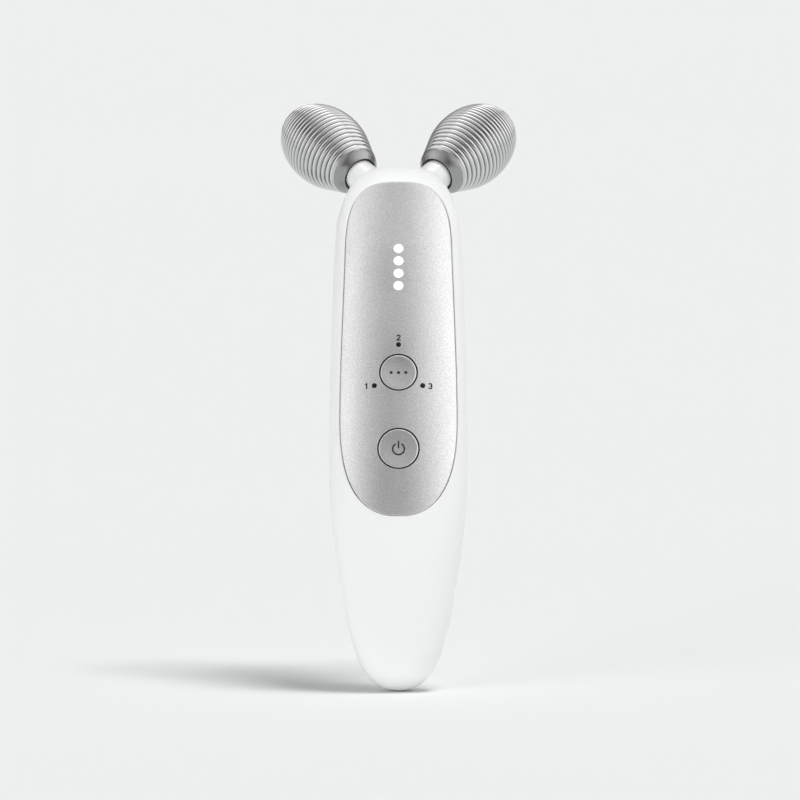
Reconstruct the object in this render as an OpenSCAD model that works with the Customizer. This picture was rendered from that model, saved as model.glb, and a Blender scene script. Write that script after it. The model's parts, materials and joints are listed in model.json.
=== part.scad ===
// Facial toning device: a curved handle with a satin faceplate and two ridged rollers on splayed arms.
// +Z runs up the handle, -Y is the side with the buttons, X runs across the two rollers.
// The origin is in the middle of the grip, on the seam. All sizes are in millimetres.

/* [Body] */
// Height of the body, from the tip of the tail to the top of the head
body_len = 157.5; // [145:0.5:170]
// Width across the grip
body_w = 41.5; // [39:0.5:46]
// Thickness at the grip, front to back
body_t = 29; // [27.5:0.5:33]
// How far the top of the head lies behind the grip
head_back = 37.5; // [34:0.5:41]
// Thickness of the housing walls
wall = 2.2; // [1.8:0.1:2.4]
// Height of the rounded end of the tail
tail_round = 13; // [11:0.5:16]
// Height of the dome on the head
head_round = 19.5; // [18:0.5:22]
// Gap along the seam between the two housings
seam_gap = 0.12; // [0.05:0.01:0.2]

/* [Faceplate] */
// Height of the faceplate, measured straight up
plate_len = 100.7; // [96:0.1:104]
// Edge of white housing above the faceplate
plate_top_edge = 4.1; // [3.5:0.1:6]
// Width across the widest part of the faceplate
plate_w = 35.1; // [32:0.1:37]
// Thickness of the faceplate
plate_t = 1; // [0.7:0.05:1.2]
// How far the faceplate stands proud of the housing
plate_proud = 0.12; // [0:0.01:0.25]
// Gap round the edge of the faceplate
plate_gap = 0.3; // [0.15:0.05:0.5]
// Thickness of the adhesive sheet under the faceplate
adhesive_t = 0.2; // [0.1:0.05:0.3]

/* [Buttons] */
// Diameter of the mode button
mode_d = 11; // [9:0.1:12]
// Diameter of the power button
power_d = 12.1; // [10:0.1:13]
// Height of the power button above the lower end of the faceplate
power_up = 20.2; // [18:0.1:23]
// Height of the mode button above the power button
button_pitch = 22.8; // [20:0.1:25]
// Gap round each button where it passes the faceplate
button_gap = 0.3; // [0.15:0.05:0.4]
// Travel of each button
button_travel = 0.5; // [0.3:0.05:0.6]
// How far the retaining flange reaches past the side of a button
flange_lip = 0.9; // [0.7:0.1:1.1]
// Depth of the inlaid marks on the buttons
mark_depth = 0.4; // [0.3:0.05:0.6]

/* [Lights] */
// Number of battery level lights
level_count = 4; // [3:1:4]
// Diameter of a battery level light
level_d = 2.8; // [2:0.1:3.2]
// Spacing of the battery level lights, measured straight up
level_pitch = 3.72; // [3.6:0.01:4]
// Height of the upper end of the faceplate above the top level light
level_down = 20.54; // [19:0.02:23]
// Diameter of a mode light
mode_light_d = 1.5; // [1:0.1:1.8]
// Distance of the mode lights from the centre of the mode button
mode_light_ring = 8.3; // [8:0.1:9]

/* [Electronics] */
// Depth of the circuit board below the faceplate, at the top level light
board_under = 5.74; // [5.6:0.02:6]
// Thickness of the circuit board
board_t = 1.2; // [0.8:0.1:1.6]
// Room beside the circuit board, inside the housing's wall
board_side = 7.3; // [6.8:0.1:8]
// Width of a tactile switch
switch_w = 6; // [5:0.1:6.5]
// Height of a tactile switch's case above the board
switch_h = 3; // [2.8:0.1:3.4]
// Diameter of a tactile switch's plunger
plunger_d = 3.4; // [2.5:0.1:4]
// Diameter of the battery cell
battery_d = 14; // [12:0.5:14.5]
// Height of the lower end of the battery above the tail
battery_up = 16.5; // [16:0.5:18]
// Height left between the battery and the circuit board
battery_clear = 3.8; // [3:0.1:6]
// Diameter of the insulated leads
lead_d = 1.1; // [0.8:0.1:1.3]

/* [Arms] */
// Height of the point where the arm axes meet, below the top of the head
yoke_drop = 12.1; // [11:0.1:13]
// Lean of the plane of the arms, back from the vertical
arm_lean = 57.1; // [54:0.1:60]
// Angle of each arm to the middle of the device
arm_splay = 33.45; // [32:0.05:36]
// Distance along an arm from the meeting point to the middle of its roller
arm_reach = 39.4; // [39:0.1:42]
// Diameter of a stem
stem_d = 9.6; // [9:0.1:10]
// Diameter of an axle
axle_d = 4; // [3:0.1:4.5]
// Gap between a stem and the hole that it leaves the head through
stem_gap = 0.15; // [0.1:0.05:0.3]
// Radial clearance of the bushes on an axle
bush_gap = 0.03; // [0.02:0.01:0.08]

/* [Rollers] */
// Largest diameter of a roller
roller_d = 23.6; // [20:0.1:25]
// Length of a roller from its middle to its tip
tip_len = 17.1; // [16:0.1:18]
// Length of a roller from its middle to the smooth collar
ridged_len = 15.6; // [15:0.1:16]
// Length of the smooth collar
collar_len = 3; // [2.5:0.1:3.2]
// Number of ridges on a roller
ridge_count = 19; // [15:1:22]
// Spacing of the ridges along the roller
ridge_pitch = 1.53; // [1.3:0.01:1.6]
// Depth of the grooves between the ridges
ridge_depth = 0.42; // [0.2:0.01:0.5]
// Thickness of the roller shell under the grooves
roller_wall = 1; // [0.7:0.1:1.4]

/* [Screws] */
// Diameter of a housing screw
screw_d = 2; // [1.6:0.1:2.4]
// Diameter of a screw's head
screw_head_d = 4; // [3:0.1:4.2]
// Outer diameter of a screw boss
boss_d = 5.4; // [5:0.1:5.6]

/* [Hidden] */
$fn = 48;

white = "#f4f4f2";
satin = "#bfc1c3";
steel = "#9a9ea3";
dark = "#2b2d30";
board_green = "#1f5f3f";
left = -1;
right = 1;
front = -1;
back = 1;
tiny = 0.01;
past = 1;                                   // how far a cutter runs past what it cuts

// ---- Outline of the body: each pair is [share of the body's height, share of the size named] ----

// Half width, as a share of half the body's width
width_at = [
    [0, 0.588], [0.057, 0.602], [0.132, 0.74], [0.21, 0.841], [0.317, 0.957], [0.381, 0.995],
    [0.5, 1], [0.688, 0.969], [0.879, 0.904], [0.94, 0.825], [1, 0.79]
];
// Place of the seam front to back, as a share of head_back
lean_at = [
    [0, -0.467], [0.05, -0.437], [0.127, -0.37], [0.254, -0.253], [0.381, -0.125], [0.5, 0],
    [0.608, 0.144], [0.698, 0.28], [0.806, 0.483], [0.876, 0.645], [0.933, 0.82], [1, 1]
];
// Depth of the front half and of the back half, as shares of the body's thickness
front_at = [
    [0, 0.24], [0.05, 0.27], [0.127, 0.324], [0.254, 0.407], [0.381, 0.455], [0.5, 0.466],
    [0.698, 0.486], [0.876, 0.517], [1, 0.528]
];
back_at = [
    [0, 0.276], [0.05, 0.31], [0.127, 0.366], [0.254, 0.455], [0.381, 0.51], [0.5, 0.534],
    [0.698, 0.548], [0.876, 0.586], [1, 0.6]
];
section_power = 2.2;                        // 2 is an ellipse, more is squarer
head_power = 2.8;
grip_h = body_len/2;                        // height of the origin above the tail

// Smooth curve through the pairs of a table
function slope_at(tab, i) =
    let (a = tab[max(0, i - 1)], b = tab[min(len(tab) - 1, i + 1)]) (b[1] - a[1])/(b[0] - a[0]);
function span_of(tab, x) = max([for (i = [0:len(tab) - 2]) x >= tab[i][0] ? i : 0]);
function smooth_at(tab, x) =
    let (i = span_of(tab, x), a = tab[i], b = tab[i + 1], d = b[0] - a[0], t = (x - a[0])/d)
    (2*t*t*t - 3*t*t + 1)*a[1] + (t*t*t - 2*t*t + t)*d*slope_at(tab, i)
    + (3*t*t - 2*t*t*t)*b[1] + (t*t*t - t*t)*d*slope_at(tab, i + 1);

// Shrinks a section towards the rounded ends of the body
function round_end(t, power) = t <= 0 ? 1 : pow(max(0, 1 - pow(t, power)), 1/power);
function ends(h) =
    round_end((tail_round - h)/tail_round, 2)
    * round_end((h - body_len + head_round)/head_round, head_power);

function half_w(h) = body_w/2*smooth_at(width_at, h/body_len)*ends(h);
function seam_y(h) = head_back*smooth_at(lean_at, h/body_len);
function depth(h, face) = body_t*smooth_at(face == front ? front_at : back_at, h/body_len)*ends(h);

// A point on the body at height h: a = 0 at the right of the seam, 90 in front, 270 behind
function signed_pow(v, power) = sign(v)*pow(abs(v), power);
function body_pt(h, a) = [
    half_w(h)*signed_pow(cos(a), 2/section_power),
    seam_y(h) - depth(h, a <= 180 ? front : back)*signed_pow(sin(a), 2/section_power),
    h - grip_h
];

// A point on the front or the back of the body, by its distance x from the middle
function face_y(x, h, face) =
    seam_y(h) + face*depth(h, face)*pow(max(0, 1 - pow(min(1, abs(x)/half_w(h)), section_power)),
                                        1/section_power);
function unit(v) = v/norm(v);
function face_normal(x, h, face, e = 0.05) =
    face*unit([-(face_y(x + e, h, face) - face_y(x - e, h, face))/(2*e), 1,
               -(face_y(x, h + e, face) - face_y(x, h - e, face))/(2*e)]);
// The same point moved inwards by d, square to the surface
function face_pt(x, h, face, d = 0) = [x, face_y(x, h, face), h - grip_h] - d*face_normal(x, h, face);

// ---- Closed two-sided skin: rows from a lower point to an upper point, columns across ----

// at(i, j, side) gives the point of row i and column j, on side 0, outside, or side 1, inside
module skin(rows, cols, at) {
    size = 2 + (rows - 1)*(cols + 1);
    function id(i, j, side) =
        side*size + (i == 0 ? 0 : i == rows ? size - 1 : 1 + (i - 1)*(cols + 1) + j);
    function quad(a, b, c, d) = [
        if (a != b && a != d) [a, b, d],
        if (b != c && c != d) [b, c, d]
    ];
    function sheet(side) = [
        for (i = [0:rows - 1], j = [0:cols - 1])
            each side == 0
                ? quad(id(i, j, 0), id(i + 1, j, 0), id(i + 1, j + 1, 0), id(i, j + 1, 0))
                : quad(id(i + 1, j + 1, 1), id(i + 1, j, 1), id(i, j, 1), id(i, j + 1, 1))
    ];
    function edge(j, first, second) = [
        for (i = [0:rows - 1])
            each quad(id(i, j, first), id(i + 1, j, first), id(i + 1, j, second), id(i, j, second))
    ];
    faces = concat(sheet(0), sheet(1), edge(0, 1, 0), edge(cols, 0, 1));
    polyhedron(
        points = [
            for (side = [0, 1], i = [0:rows], j = [0:cols])
                if (j == 0 || (i > 0 && i < rows)) at(i, j, side)
        ],
        faces = faces);
}

// Heights of the rows: close together on the rounded ends, even between them
tail_rows = 7;
middle_rows = 24;
head_rows = 11;
body_rows = tail_rows + middle_rows + head_rows;
body_cols = 26;
function row_h(i) =
    i <= tail_rows ? tail_round*(1 - cos(90*i/tail_rows))
    : i >= tail_rows + middle_rows ? body_len - head_round*(1 - cos(90*(body_rows - i)/head_rows))
    : tail_round + (body_len - tail_round - head_round)*(i - tail_rows)/middle_rows;

// Outward normal of the body, and the body's surface moved inwards by d
function body_normal(h, a, e = 0.02) =
    let (lo = max(e, min(body_len - 3*e, h)))
    unit(cross(body_pt(lo, a + 1) - body_pt(lo, a - 1), body_pt(lo + e, a) - body_pt(lo - e, a)));
function inset_pt(i, a, d) =
    i == 0 ? body_pt(0, 90) + [0, 0, d]
    : i == body_rows ? body_pt(body_len, 90) - [0, 0, d]
    : body_pt(row_h(i), a) + d*body_normal(row_h(i), a);

// Half of the body's shell, from the angle a0 to a1, moved back by shift
module half_shell(a0, a1, shift) {
    skin(body_rows, body_cols,
         function(i, j, side)
             inset_pt(i, a0 + (a1 - a0)*j/body_cols, side*wall) + [0, shift, 0]);
}

// A plate that follows the front or back of the body between two depths; half(h) is its half width
module face_patch(h0, h1, half, d0, d1, rows, cols, face = front) {
    skin(rows, cols,
         function(i, j, side)
             let (h = h0 + (h1 - h0)*(1 - cos(180*i/rows))/2)
             face_pt(half(h)*(2*j/cols - 1)*-face, h, face, side == 0 ? d0 : d1));
}

// A round patch of radius r about a point of the front or the back
module face_disc(x, h, r, d0, d1, face = front, rows = 12, cols = 10) {
    skin(rows, cols,
         function(i, j, side)
             let (c = -cos(180*i/rows), w = sqrt(1 - c*c))
             face_pt(x + r*w*(2*j/cols - 1)*-face, h + r*c, face, side == 0 ? d0 : d1));
}

// ---- The button deck: a flat frame along the faceplate; its +Z runs up, its +Y runs inwards ----

plate_top = body_len - plate_top_edge;
plate_low = plate_top - plate_len;
power_h = plate_low + power_up;
mode_h = power_h + button_pitch;
deck_tilt = atan2(face_y(0, mode_h, front) - face_y(0, power_h, front), button_pitch);
deck_o = (face_pt(0, mode_h, front) + face_pt(0, power_h, front))/2;
button_v = button_pitch/cos(deck_tilt)/2;   // distance of each button from the deck's middle

// Place of a point in the deck's frame: [across, depth, up]
function to_deck(p) =
    let (q = p - deck_o)
    [q.x, q.y*cos(deck_tilt) - q.z*sin(deck_tilt), q.y*sin(deck_tilt) + q.z*cos(deck_tilt)];

module on_deck() {
    translate(deck_o) rotate([-deck_tilt, 0, 0]) children();
}

// A frame at a place on the deck whose +Z runs inwards
module inward(x, v) {
    on_deck() translate([x, 0, v]) rotate([-90, 0, 0]) children();
}

// A round bar on the deck between two depths
module deck_rod(x, v, d, from, to) {
    inward(x, v) translate([0, 0, from]) cylinder(h = to - from, d = d);
}

// Outline of the faceplate, grown by g all round
plate_rows = 28;
plate_cols = 12;
layer_gap = 0.03;                           // between the faceplate, its adhesive and the recess
plate_low_round = 30.3;
plate_top_round = 14;
plate_width_at = [[0, 1], [0.3, 1], [0.45, 0.983], [0.66, 0.937], [0.79, 0.909], [1, 0.875]];
function plate_half(h, g = 0) =
    let (t = (h - plate_low + g)/(plate_len + 2*g), up = t*plate_len)
    plate_w/2*smooth_at(plate_width_at, t)
    * round_end((plate_low_round - up)/plate_low_round, 2.5)
    * round_end((up - plate_len + plate_top_round)/plate_top_round, 2.2)
    + g*min(1, 8*t, 8*(1 - t));

recess_depth = plate_t - plate_proud + adhesive_t;

// The level lights climb the faceplate; the mode lights stand round the mode button
level_places = [
    for (i = [level_count - 1:-1:0]) to_deck(face_pt(0, plate_top - level_down - i*level_pitch, front))
];
mode_places = [
    for (a = [90, 209, 331])
        to_deck(face_pt(mode_light_ring*cos(a), mode_h + mode_light_ring*sin(a), front))
];

// Depths below the deck
collar_bottom = 3.5;                        // underside of the guide round each button
collar_wall = 1.9;
seal_top = 1.9;
seal_t = 0.8;
seal_gap = 0.12;
flange_top = collar_bottom + 0.1;
flange_t = 0.8;
plunger_above = 1.2;                        // plunger above its switch, and inside it
plunger_inside = 1;
board_depth = max(level_places[level_count - 1].y + board_under,
                  flange_top + flange_t + plunger_above + switch_h + 0.4);
switch_top = board_depth - switch_h;
plunger_top = switch_top - plunger_above;
plunger_bottom = switch_top + plunger_inside;
plunger_gap = 0.1;
guide_gap = 0.15;                           // buttons in their guides

// The circuit board: its lower end, in the deck's frame and as a height above the tail
board_back = board_depth + board_t;
board_w = 2*(half_w(mode_h) - wall - board_side);
board_low = -button_v - 10;
board_low_h = deck_pt(0, board_back, board_low).z + grip_h;

// ---- Screws and bosses: the heads are at the back, under plugs ----

screw_places = [[body_w*0.296, board_low_h - 10.25], [body_w*0.299, body_len*0.7365]];
plug_d = screw_head_d + 1.2;
plug_t = 1.6;
fit_gap = 0.05;                             // screws and pegs in their holes
screw_len = 9;
function screw_seat(p) = face_y(p[0], p[1], back) - 4.6;

// A boss from the seam to the middle of the wall, on either housing
module screw_boss(p, side, d, face) {
    from = face == front ? face_y(p[0], p[1], front) - past : seam_y(p[1]) + seam_gap;
    to = face == front ? seam_y(p[1]) : face_y(p[0], p[1], back) + past;
    intersection() {
        translate([side*p[0], from, p[1] - grip_h]) rotate([-90, 0, 0]) cylinder(h = to - from, d = d);
        face_disc(side*p[0], p[1], d/2 + past, wall/2, body_t/2, face, 8, 6);
    }
}

// ---- Housings ----

module front_housing() {
    color(white) difference() {
        union() {
            half_shell(180, 0, 0);
            for (p = screw_places, side = [left, right]) screw_boss(p, side, boss_d, front);
            for (p = board_posts) deck_rod(p[0], p[1], post_d, p[2], board_depth);
            button_guide(-button_v, power_d);
            button_guide(button_v, mode_d);
            in_yoke() for (side = [left, right]) yoke_boss(side);
        }
        face_patch(plate_low - plate_gap, plate_top + plate_gap, function(h) plate_half(h, plate_gap),
                   -past, recess_depth, plate_rows, plate_cols);
        for (p = screw_places, side = [left, right])
            translate([side*p[0], screw_seat(p) - screw_len - past, p[1] - grip_h])
                rotate([-90, 0, 0]) cylinder(h = screw_len + past, d = screw_d + 2*fit_gap);
        for (p = board_posts)
            deck_rod(p[0], p[1], post_screw_d + 2*fit_gap, board_depth - post_screw_len - 0.5,
                     board_depth + past);
        button_bore(-button_v, power_d);
        button_bore(button_v, mode_d);
        for (p = level_places) deck_rod(p.x, p[2], level_d + 4*fit_gap, p.y - past, p.y + 2*wall + 1);
        for (p = mode_places) deck_rod(p.x, p[2], mode_light_d + 4*fit_gap, p.y - past, p.y + 2*wall);
        for (side = [left, right]) stem_hole(side);
        in_yoke() for (side = [left, right]) yoke_pilot(side);
        socket_hole();
    }
}

// The collar inside the front housing that guides a button
module button_guide(v, d) {
    deck_rod(0, v, d + 2*guide_gap + 2*collar_wall, wall*0.6, collar_bottom);
}

module button_bore(v, d) {
    deck_rod(0, v, d + 2*guide_gap, -past, collar_bottom + past);
    deck_rod(0, v, d + 2*seal_gap + 2*seal_w, -past, seal_top + seal_t);
}

module rear_housing() {
    color(white) difference() {
        union() {
            half_shell(360, 180, seam_gap);
            for (p = screw_places, side = [left, right]) screw_boss(p, side, plug_d + 2, back);
        }
        for (p = screw_places, side = [left, right])
            translate([side*p[0], screw_seat(p), p[1] - grip_h]) rotate([-90, 0, 0]) {
                cylinder(h = 12, d = plug_d);
                translate([0, 0, -20]) cylinder(h = 20 + past, d = screw_d + 0.4);
            }
        for (side = [left, right]) stem_hole(side);
        socket_hole();
    }
}

module housing_screws() {
    color(steel) for (p = screw_places, side = [left, right])
        translate([side*p[0], screw_seat(p), p[1] - grip_h]) rotate([-90, 0, 0]) difference() {
            union() {
                cylinder(h = screw_head_h, d = screw_head_d);
                translate([0, 0, -screw_len]) cylinder(h = screw_len + tiny, d = screw_d);
            }
            translate([0, 0, screw_head_h - 0.8]) cross_slot(0.8 + past);
        }
}
screw_head_h = 1.5;

// A cross recess cut down from the top of a screw's head
module cross_slot(h) {
    for (a = [0, 90]) rotate(a) translate([-1, -0.25, 0]) cube([2, 0.5, h]);
}

// Soft plugs that fill the screw holes, level with the back
module screw_plugs() {
    color(white) for (p = screw_places, side = [left, right]) intersection() {
        translate([side*p[0], screw_seat(p) + screw_head_h + 0.1, p[1] - grip_h]) rotate([-90, 0, 0])
            cylinder(h = 6, d = plug_d - 2*fit_gap);
        face_disc(side*p[0], p[1], plug_d, 0.05, 6, back);
    }
}

// ---- Faceplate ----

module faceplate() {
    color(satin) difference() {
        face_patch(plate_low, plate_top, function(h) plate_half(h), -plate_proud, plate_t - plate_proud,
                   plate_rows, plate_cols);
        deck_rod(0, -button_v, power_d + 2*button_gap, -past, 4);
        deck_rod(0, button_v, mode_d + 2*button_gap, -past, 4);
        light_holes(0);
    }
}

module plate_adhesive() {
    color(dark) difference() {
        face_patch(plate_low, plate_top, function(h) plate_half(h),
                   plate_t - plate_proud + layer_gap, recess_depth - layer_gap, plate_rows, plate_cols);
        deck_rod(0, -button_v, power_d + 2*button_gap + 2, -past, 4);
        deck_rod(0, button_v, mode_d + 2*button_gap + 2, -past, 4);
        light_holes(0.5);
    }
}

module light_holes(extra) {
    for (p = level_places) deck_rod(p.x, p[2], level_d + 2*fit_gap + extra, p.y - 2, p.y + 4);
    for (p = mode_places) deck_rod(p.x, p[2], mode_light_d + 2*fit_gap + extra, p.y - 2, p.y + 4);
}

// ---- Buttons ----

// A button whose face follows the faceplate, with a retaining flange and a post for the plunger
module button(v, h, d) {
    intersection() {
        deck_rod(0, v, d, -3, flange_top + tiny);
        face_disc(0, h, d/2 + 1.5, -plate_proud, 8);
    }
    deck_rod(0, v, d + 2*flange_lip, flange_top, flange_top + flange_t);
    deck_rod(0, v, plunger_d, flange_top + flange_t - tiny, plunger_top);
}

module mode_button() {
    color(satin) difference() {
        button(button_v, mode_h, mode_d);
        mode_marks(-past, mark_depth);
    }
}

module power_button() {
    color(satin) difference() {
        button(-button_v, power_h, power_d);
        power_mark(-past, mark_depth);
    }
}

// Three plain pips, one for each mode
module mode_marks(from, to) {
    for (x = [-2.2, 0, 2.2]) deck_rod(x, button_v, 1, from, to);
}

// The usual standby sign: an open ring and a stroke
module power_mark(from, to) {
    ring_r = 1.8;
    line = 0.42;
    inward(0, -button_v) translate([0, 0, from]) {
        rotate(-60) rotate_extrude(angle = 300) translate([ring_r - line/2, 0]) square([line, to - from]);
        translate([-line/2, -2.3, 0]) cube([line, 1.9, to - from]);
    }
}

module mode_symbol() {
    color(dark) mode_marks(0, mark_depth);
}

module power_symbol() {
    color(dark) power_mark(0, mark_depth);
}

module plunger(v) {
    deck_rod(0, v, plunger_d, plunger_top, plunger_bottom);
}

module mode_plunger() {
    color(dark) plunger(button_v);
}

module power_plunger() {
    color(dark) plunger(-button_v);
}

// A tactile switch's case, with the well that its plunger moves in
module switch_case(v) {
    difference() {
        on_deck() translate([-switch_w/2, switch_top, v - switch_w/2]) cube([switch_w, switch_h, switch_w]);
        deck_rod(0, v, plunger_d + 2*plunger_gap, switch_top - past, plunger_bottom + button_travel + 0.2);
    }
}

module mode_switch() {
    color(dark) switch_case(button_v);
}

module power_switch() {
    color(dark) switch_case(-button_v);
}

// Black rings between the buttons and the housing
seal_w = 1;
module button_seals() {
    color(dark) for (b = [[-button_v, power_d], [button_v, mode_d]]) difference() {
        deck_rod(0, b[0], b[1] + 2*seal_w + 2*seal_gap - 2*fit_gap, seal_top, seal_top + seal_t);
        deck_rod(0, b[0], b[1] + 2*seal_gap, seal_top - past, seal_top + seal_t + past);
    }
}

// ---- Lights ----

guide_top = board_depth - 2.9;
guide_bottom = board_depth - 1;
guide_w = 4;
level_span = level_places[level_count - 1][2] - level_places[0][2];
led_size = [1.6, 0.8, 0.8];

module level_light_guide() {
    color("white") {
        for (p = level_places) deck_rod(p.x, p[2], level_d, p.y - plate_proud, guide_top + tiny);
        on_deck() translate([-guide_w/2, guide_top, level_places[0][2] - guide_w/2])
            cube([guide_w, guide_bottom - guide_top, level_span + guide_w]);
    }
}

module mode_light_guide() {
    color("black") for (p = mode_places) {
        deck_rod(p.x, p[2], mode_light_d, p.y - plate_proud, guide_top + tiny);
        deck_rod(p.x, p[2], mode_light_d + 1.2, guide_top, guide_bottom);
    }
}

module leds(places) {
    for (p = places)
        on_deck() translate([p.x - led_size.x/2, board_depth - led_size.y, p[2] - led_size.z/2])
            cube(led_size);
}

module level_leds() {
    color("ivory") leds(level_places);
}

module mode_leds() {
    color("ivory") leds(mode_places);
}

// ---- Circuit board and what it carries ----

board_high = level_places[level_count - 1][2] + 6;
narrow_from = button_v + 10;                // the board narrows here, beside the screw bosses
narrow_w = 18;
post_d = 4.4;
post_screw_d = 1.6;
post_screw_len = 4;
// Posts that carry the board: [across, up, depth where the post leaves the wall]
board_posts = [
    for (side = [left, right], v = [board_low + 3, button_v + 6.5])
        let (x = side*(board_w/2 - 2.6))
        [x, v, to_deck(face_pt(x, v*cos(deck_tilt) + deck_o.z + grip_h, front)).y + (recess_depth + wall)/2]
];

module main_board() {
    color(board_green) difference() {
        on_deck() {
            translate([-board_w/2, board_depth, board_low]) cube([board_w, board_t, narrow_from - board_low]);
            translate([-narrow_w/2, board_depth, narrow_from - tiny])
                cube([narrow_w, board_t, board_high - narrow_from]);
        }
        for (p = board_posts)
            deck_rod(p[0], p[1], post_screw_d + 2*fit_gap, board_depth - past, board_depth + board_t + past);
    }
}

module board_screws() {
    color(steel) for (p = board_posts) difference() {
        union() {
            deck_rod(p[0], p[1], post_screw_d, board_depth - post_screw_len, board_depth + board_t + tiny);
            deck_rod(p[0], p[1], 3, board_depth + board_t, board_depth + board_t + 1);
        }
        inward(p[0], p[1]) translate([0, 0, board_depth + board_t + 0.5]) cross_slot(past);
    }
}

// A part that stands on the back of the board: size is [across, depth, up]
module on_board_back(x, v, size) {
    on_deck() translate([x - size.x/2, board_depth + board_t, v - size.z/2]) cube(size);
}

module control_chip() {
    color(dark) on_board_back(0, 4, [7, 1.2, 7]);
}

module charge_chip() {
    color(dark) on_board_back(3, board_low + 9, [4, 1, 5]);
}

module pulse_coil() {
    color("#3b3b40") difference() {
        on_board_back(0, narrow_from + 6, [9, 6, 9]);
        deck_rod(0, narrow_from + 6, 3, board_depth + board_t + 4.5, board_depth + board_t + 7);
    }
}

module capacitors() {
    color("#4a5a78") for (x = [-5.5, 5.5], v = [-5, 12])
        deck_rod(x, v, 4, board_back, board_back + 4.5);
}

// ---- Battery, in a frame whose +Z runs up the tail ----

function centre_y(h) = (face_y(0, h, front) + face_y(0, h, back))/2;
battery_top_h = board_low_h - battery_clear;
battery_tilt = atan2(centre_y(battery_top_h) - centre_y(battery_up), battery_top_h - battery_up);
battery_len = (battery_top_h - battery_up)/cos(battery_tilt);

module in_tail() {
    translate([0, centre_y(battery_up), battery_up - grip_h]) rotate([-battery_tilt, 0, 0]) children();
}

module battery_cell() {
    color("#2f6fb0") in_tail() {
        cylinder(h = battery_len - 1, d = battery_d);
        translate([0, 0, battery_len - 1 - tiny]) cylinder(h = 1, d = 5);
    }
}

// Two foam rings that hold the cell between the housings
pad_t = 0.6;
pad_h = 5;
module battery_pads() {
    color(dark) in_tail() for (z = [8, battery_len - 12]) translate([0, 0, z]) difference() {
        cylinder(h = pad_h, d = battery_d + 2*pad_t);
        translate([0, 0, -past]) cylinder(h = pad_h + 2*past, d = battery_d);
    }
}

// A round lead on a smooth curve through a list of points
lead_sides = 8;
lead_rings = 5;                             // rings for each stretch between two points
function lead_dir(points, i) = unit(points[min(len(points) - 1, i + 1)] - points[max(0, i - 1)]);
function lead_pt(points, t) =
    let (i = min(len(points) - 2, floor(t)), f = t - i, a = points[i], b = points[i + 1], l = norm(b - a))
    (2*f*f*f - 3*f*f + 1)*a + (f*f*f - 2*f*f + f)*l*lead_dir(points, i)
    + (3*f*f - 2*f*f*f)*b + (f*f*f - f*f)*l*lead_dir(points, i + 1);
module lead(points) {
    rings = lead_rings*(len(points) - 1);
    function ring_pt(k, a) =
        let (t = k/lead_rings, step = 0.02,
             after = lead_pt(points, min(len(points) - 1, t + step)),
             along = unit(after - lead_pt(points, max(0, t - step))),
             across = unit(cross(along, [1, 0.31, 0.17])))
        lead_pt(points, t) + lead_d/2*(cos(a)*across + sin(a)*cross(along, across));
    polyhedron(
        points = [for (k = [0:rings], j = [0:lead_sides - 1]) ring_pt(k, 360*j/lead_sides)],
        faces = concat(
            [[for (j = [0:lead_sides - 1]) j]],
            [[for (j = [lead_sides - 1:-1:0]) rings*lead_sides + j]],
            [for (k = [0:rings - 1], j = [0:lead_sides - 1])
                let (a = k*lead_sides + j, b = k*lead_sides + (j + 1)%lead_sides)
                each [[a, a + lead_sides, b], [b, a + lead_sides, b + lead_sides]]]));
}

function tail_pt(x, y, z) =
    [x, centre_y(battery_up) + y*cos(battery_tilt) + z*sin(battery_tilt),
     battery_up - grip_h - y*sin(battery_tilt) + z*cos(battery_tilt)];
function deck_pt(x, d, v) =
    deck_o + [x, d*cos(deck_tilt) + v*sin(deck_tilt), -d*sin(deck_tilt) + v*cos(deck_tilt)];

// A lead ends square to the board, just clear of it
function solder_pts(x, v) = [deck_pt(x, board_back + 2.5, v), deck_pt(x, board_back + 0.05, v)];

module battery_leads() {
    tab = battery_len + 0.1;
    color("firebrick")
        lead(concat([tail_pt(0, 0, tab), tail_pt(0, 0.4, tab + 1.5)], solder_pts(3, board_low + 2.5)));
    color("black")
        lead(concat([tail_pt(-5, 0, battery_len - 0.9), tail_pt(-5, 0.4, battery_len + 1)],
                    solder_pts(-3.5, board_low + 2.5)));
}

// ---- Charging socket in the tip of the tail ----

socket_w = 8.94;
socket_h = 3.2;
socket_len = 7.3;
socket_up = 0.8;                            // the mouth of the socket above the tip
socket_skin = 0.3;
socket_floor = 0.8;
socket_gap = 0.1;

// A bar with rounded sides, upwards from z = 0
module slot_bar(w, t, h) {
    translate([-(w - t)/2, -t/2, 0]) cube([w - t, t, h]);
    for (side = [left, right]) translate([side*(w - t)/2, 0, 0]) cylinder(h = h, d = t);
}

module at_socket() {
    translate([0, seam_y(0) + seam_gap/2, socket_up - grip_h]) children();
}

module socket_hole() {
    at_socket() translate([0, 0, -socket_up - past])
        slot_bar(socket_w + 2*socket_gap, socket_h + 2*socket_gap, socket_len + socket_up + past);
}

module socket_shell() {
    color(steel) at_socket() difference() {
        slot_bar(socket_w, socket_h, socket_len);
        translate([0, 0, -past])
            slot_bar(socket_w - 2*socket_skin, socket_h - 2*socket_skin, socket_len - socket_floor + past);
    }
}

module socket_tongue() {
    color(dark) at_socket() translate([-3.3, -0.35, 0.7]) cube([6.6, 0.7, socket_len - socket_floor - 0.7]);
}

module socket_board() {
    color(board_green) at_socket() translate([-5.5, -1.6 - 1, socket_len]) cube([11, 6, 1]);
}

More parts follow.
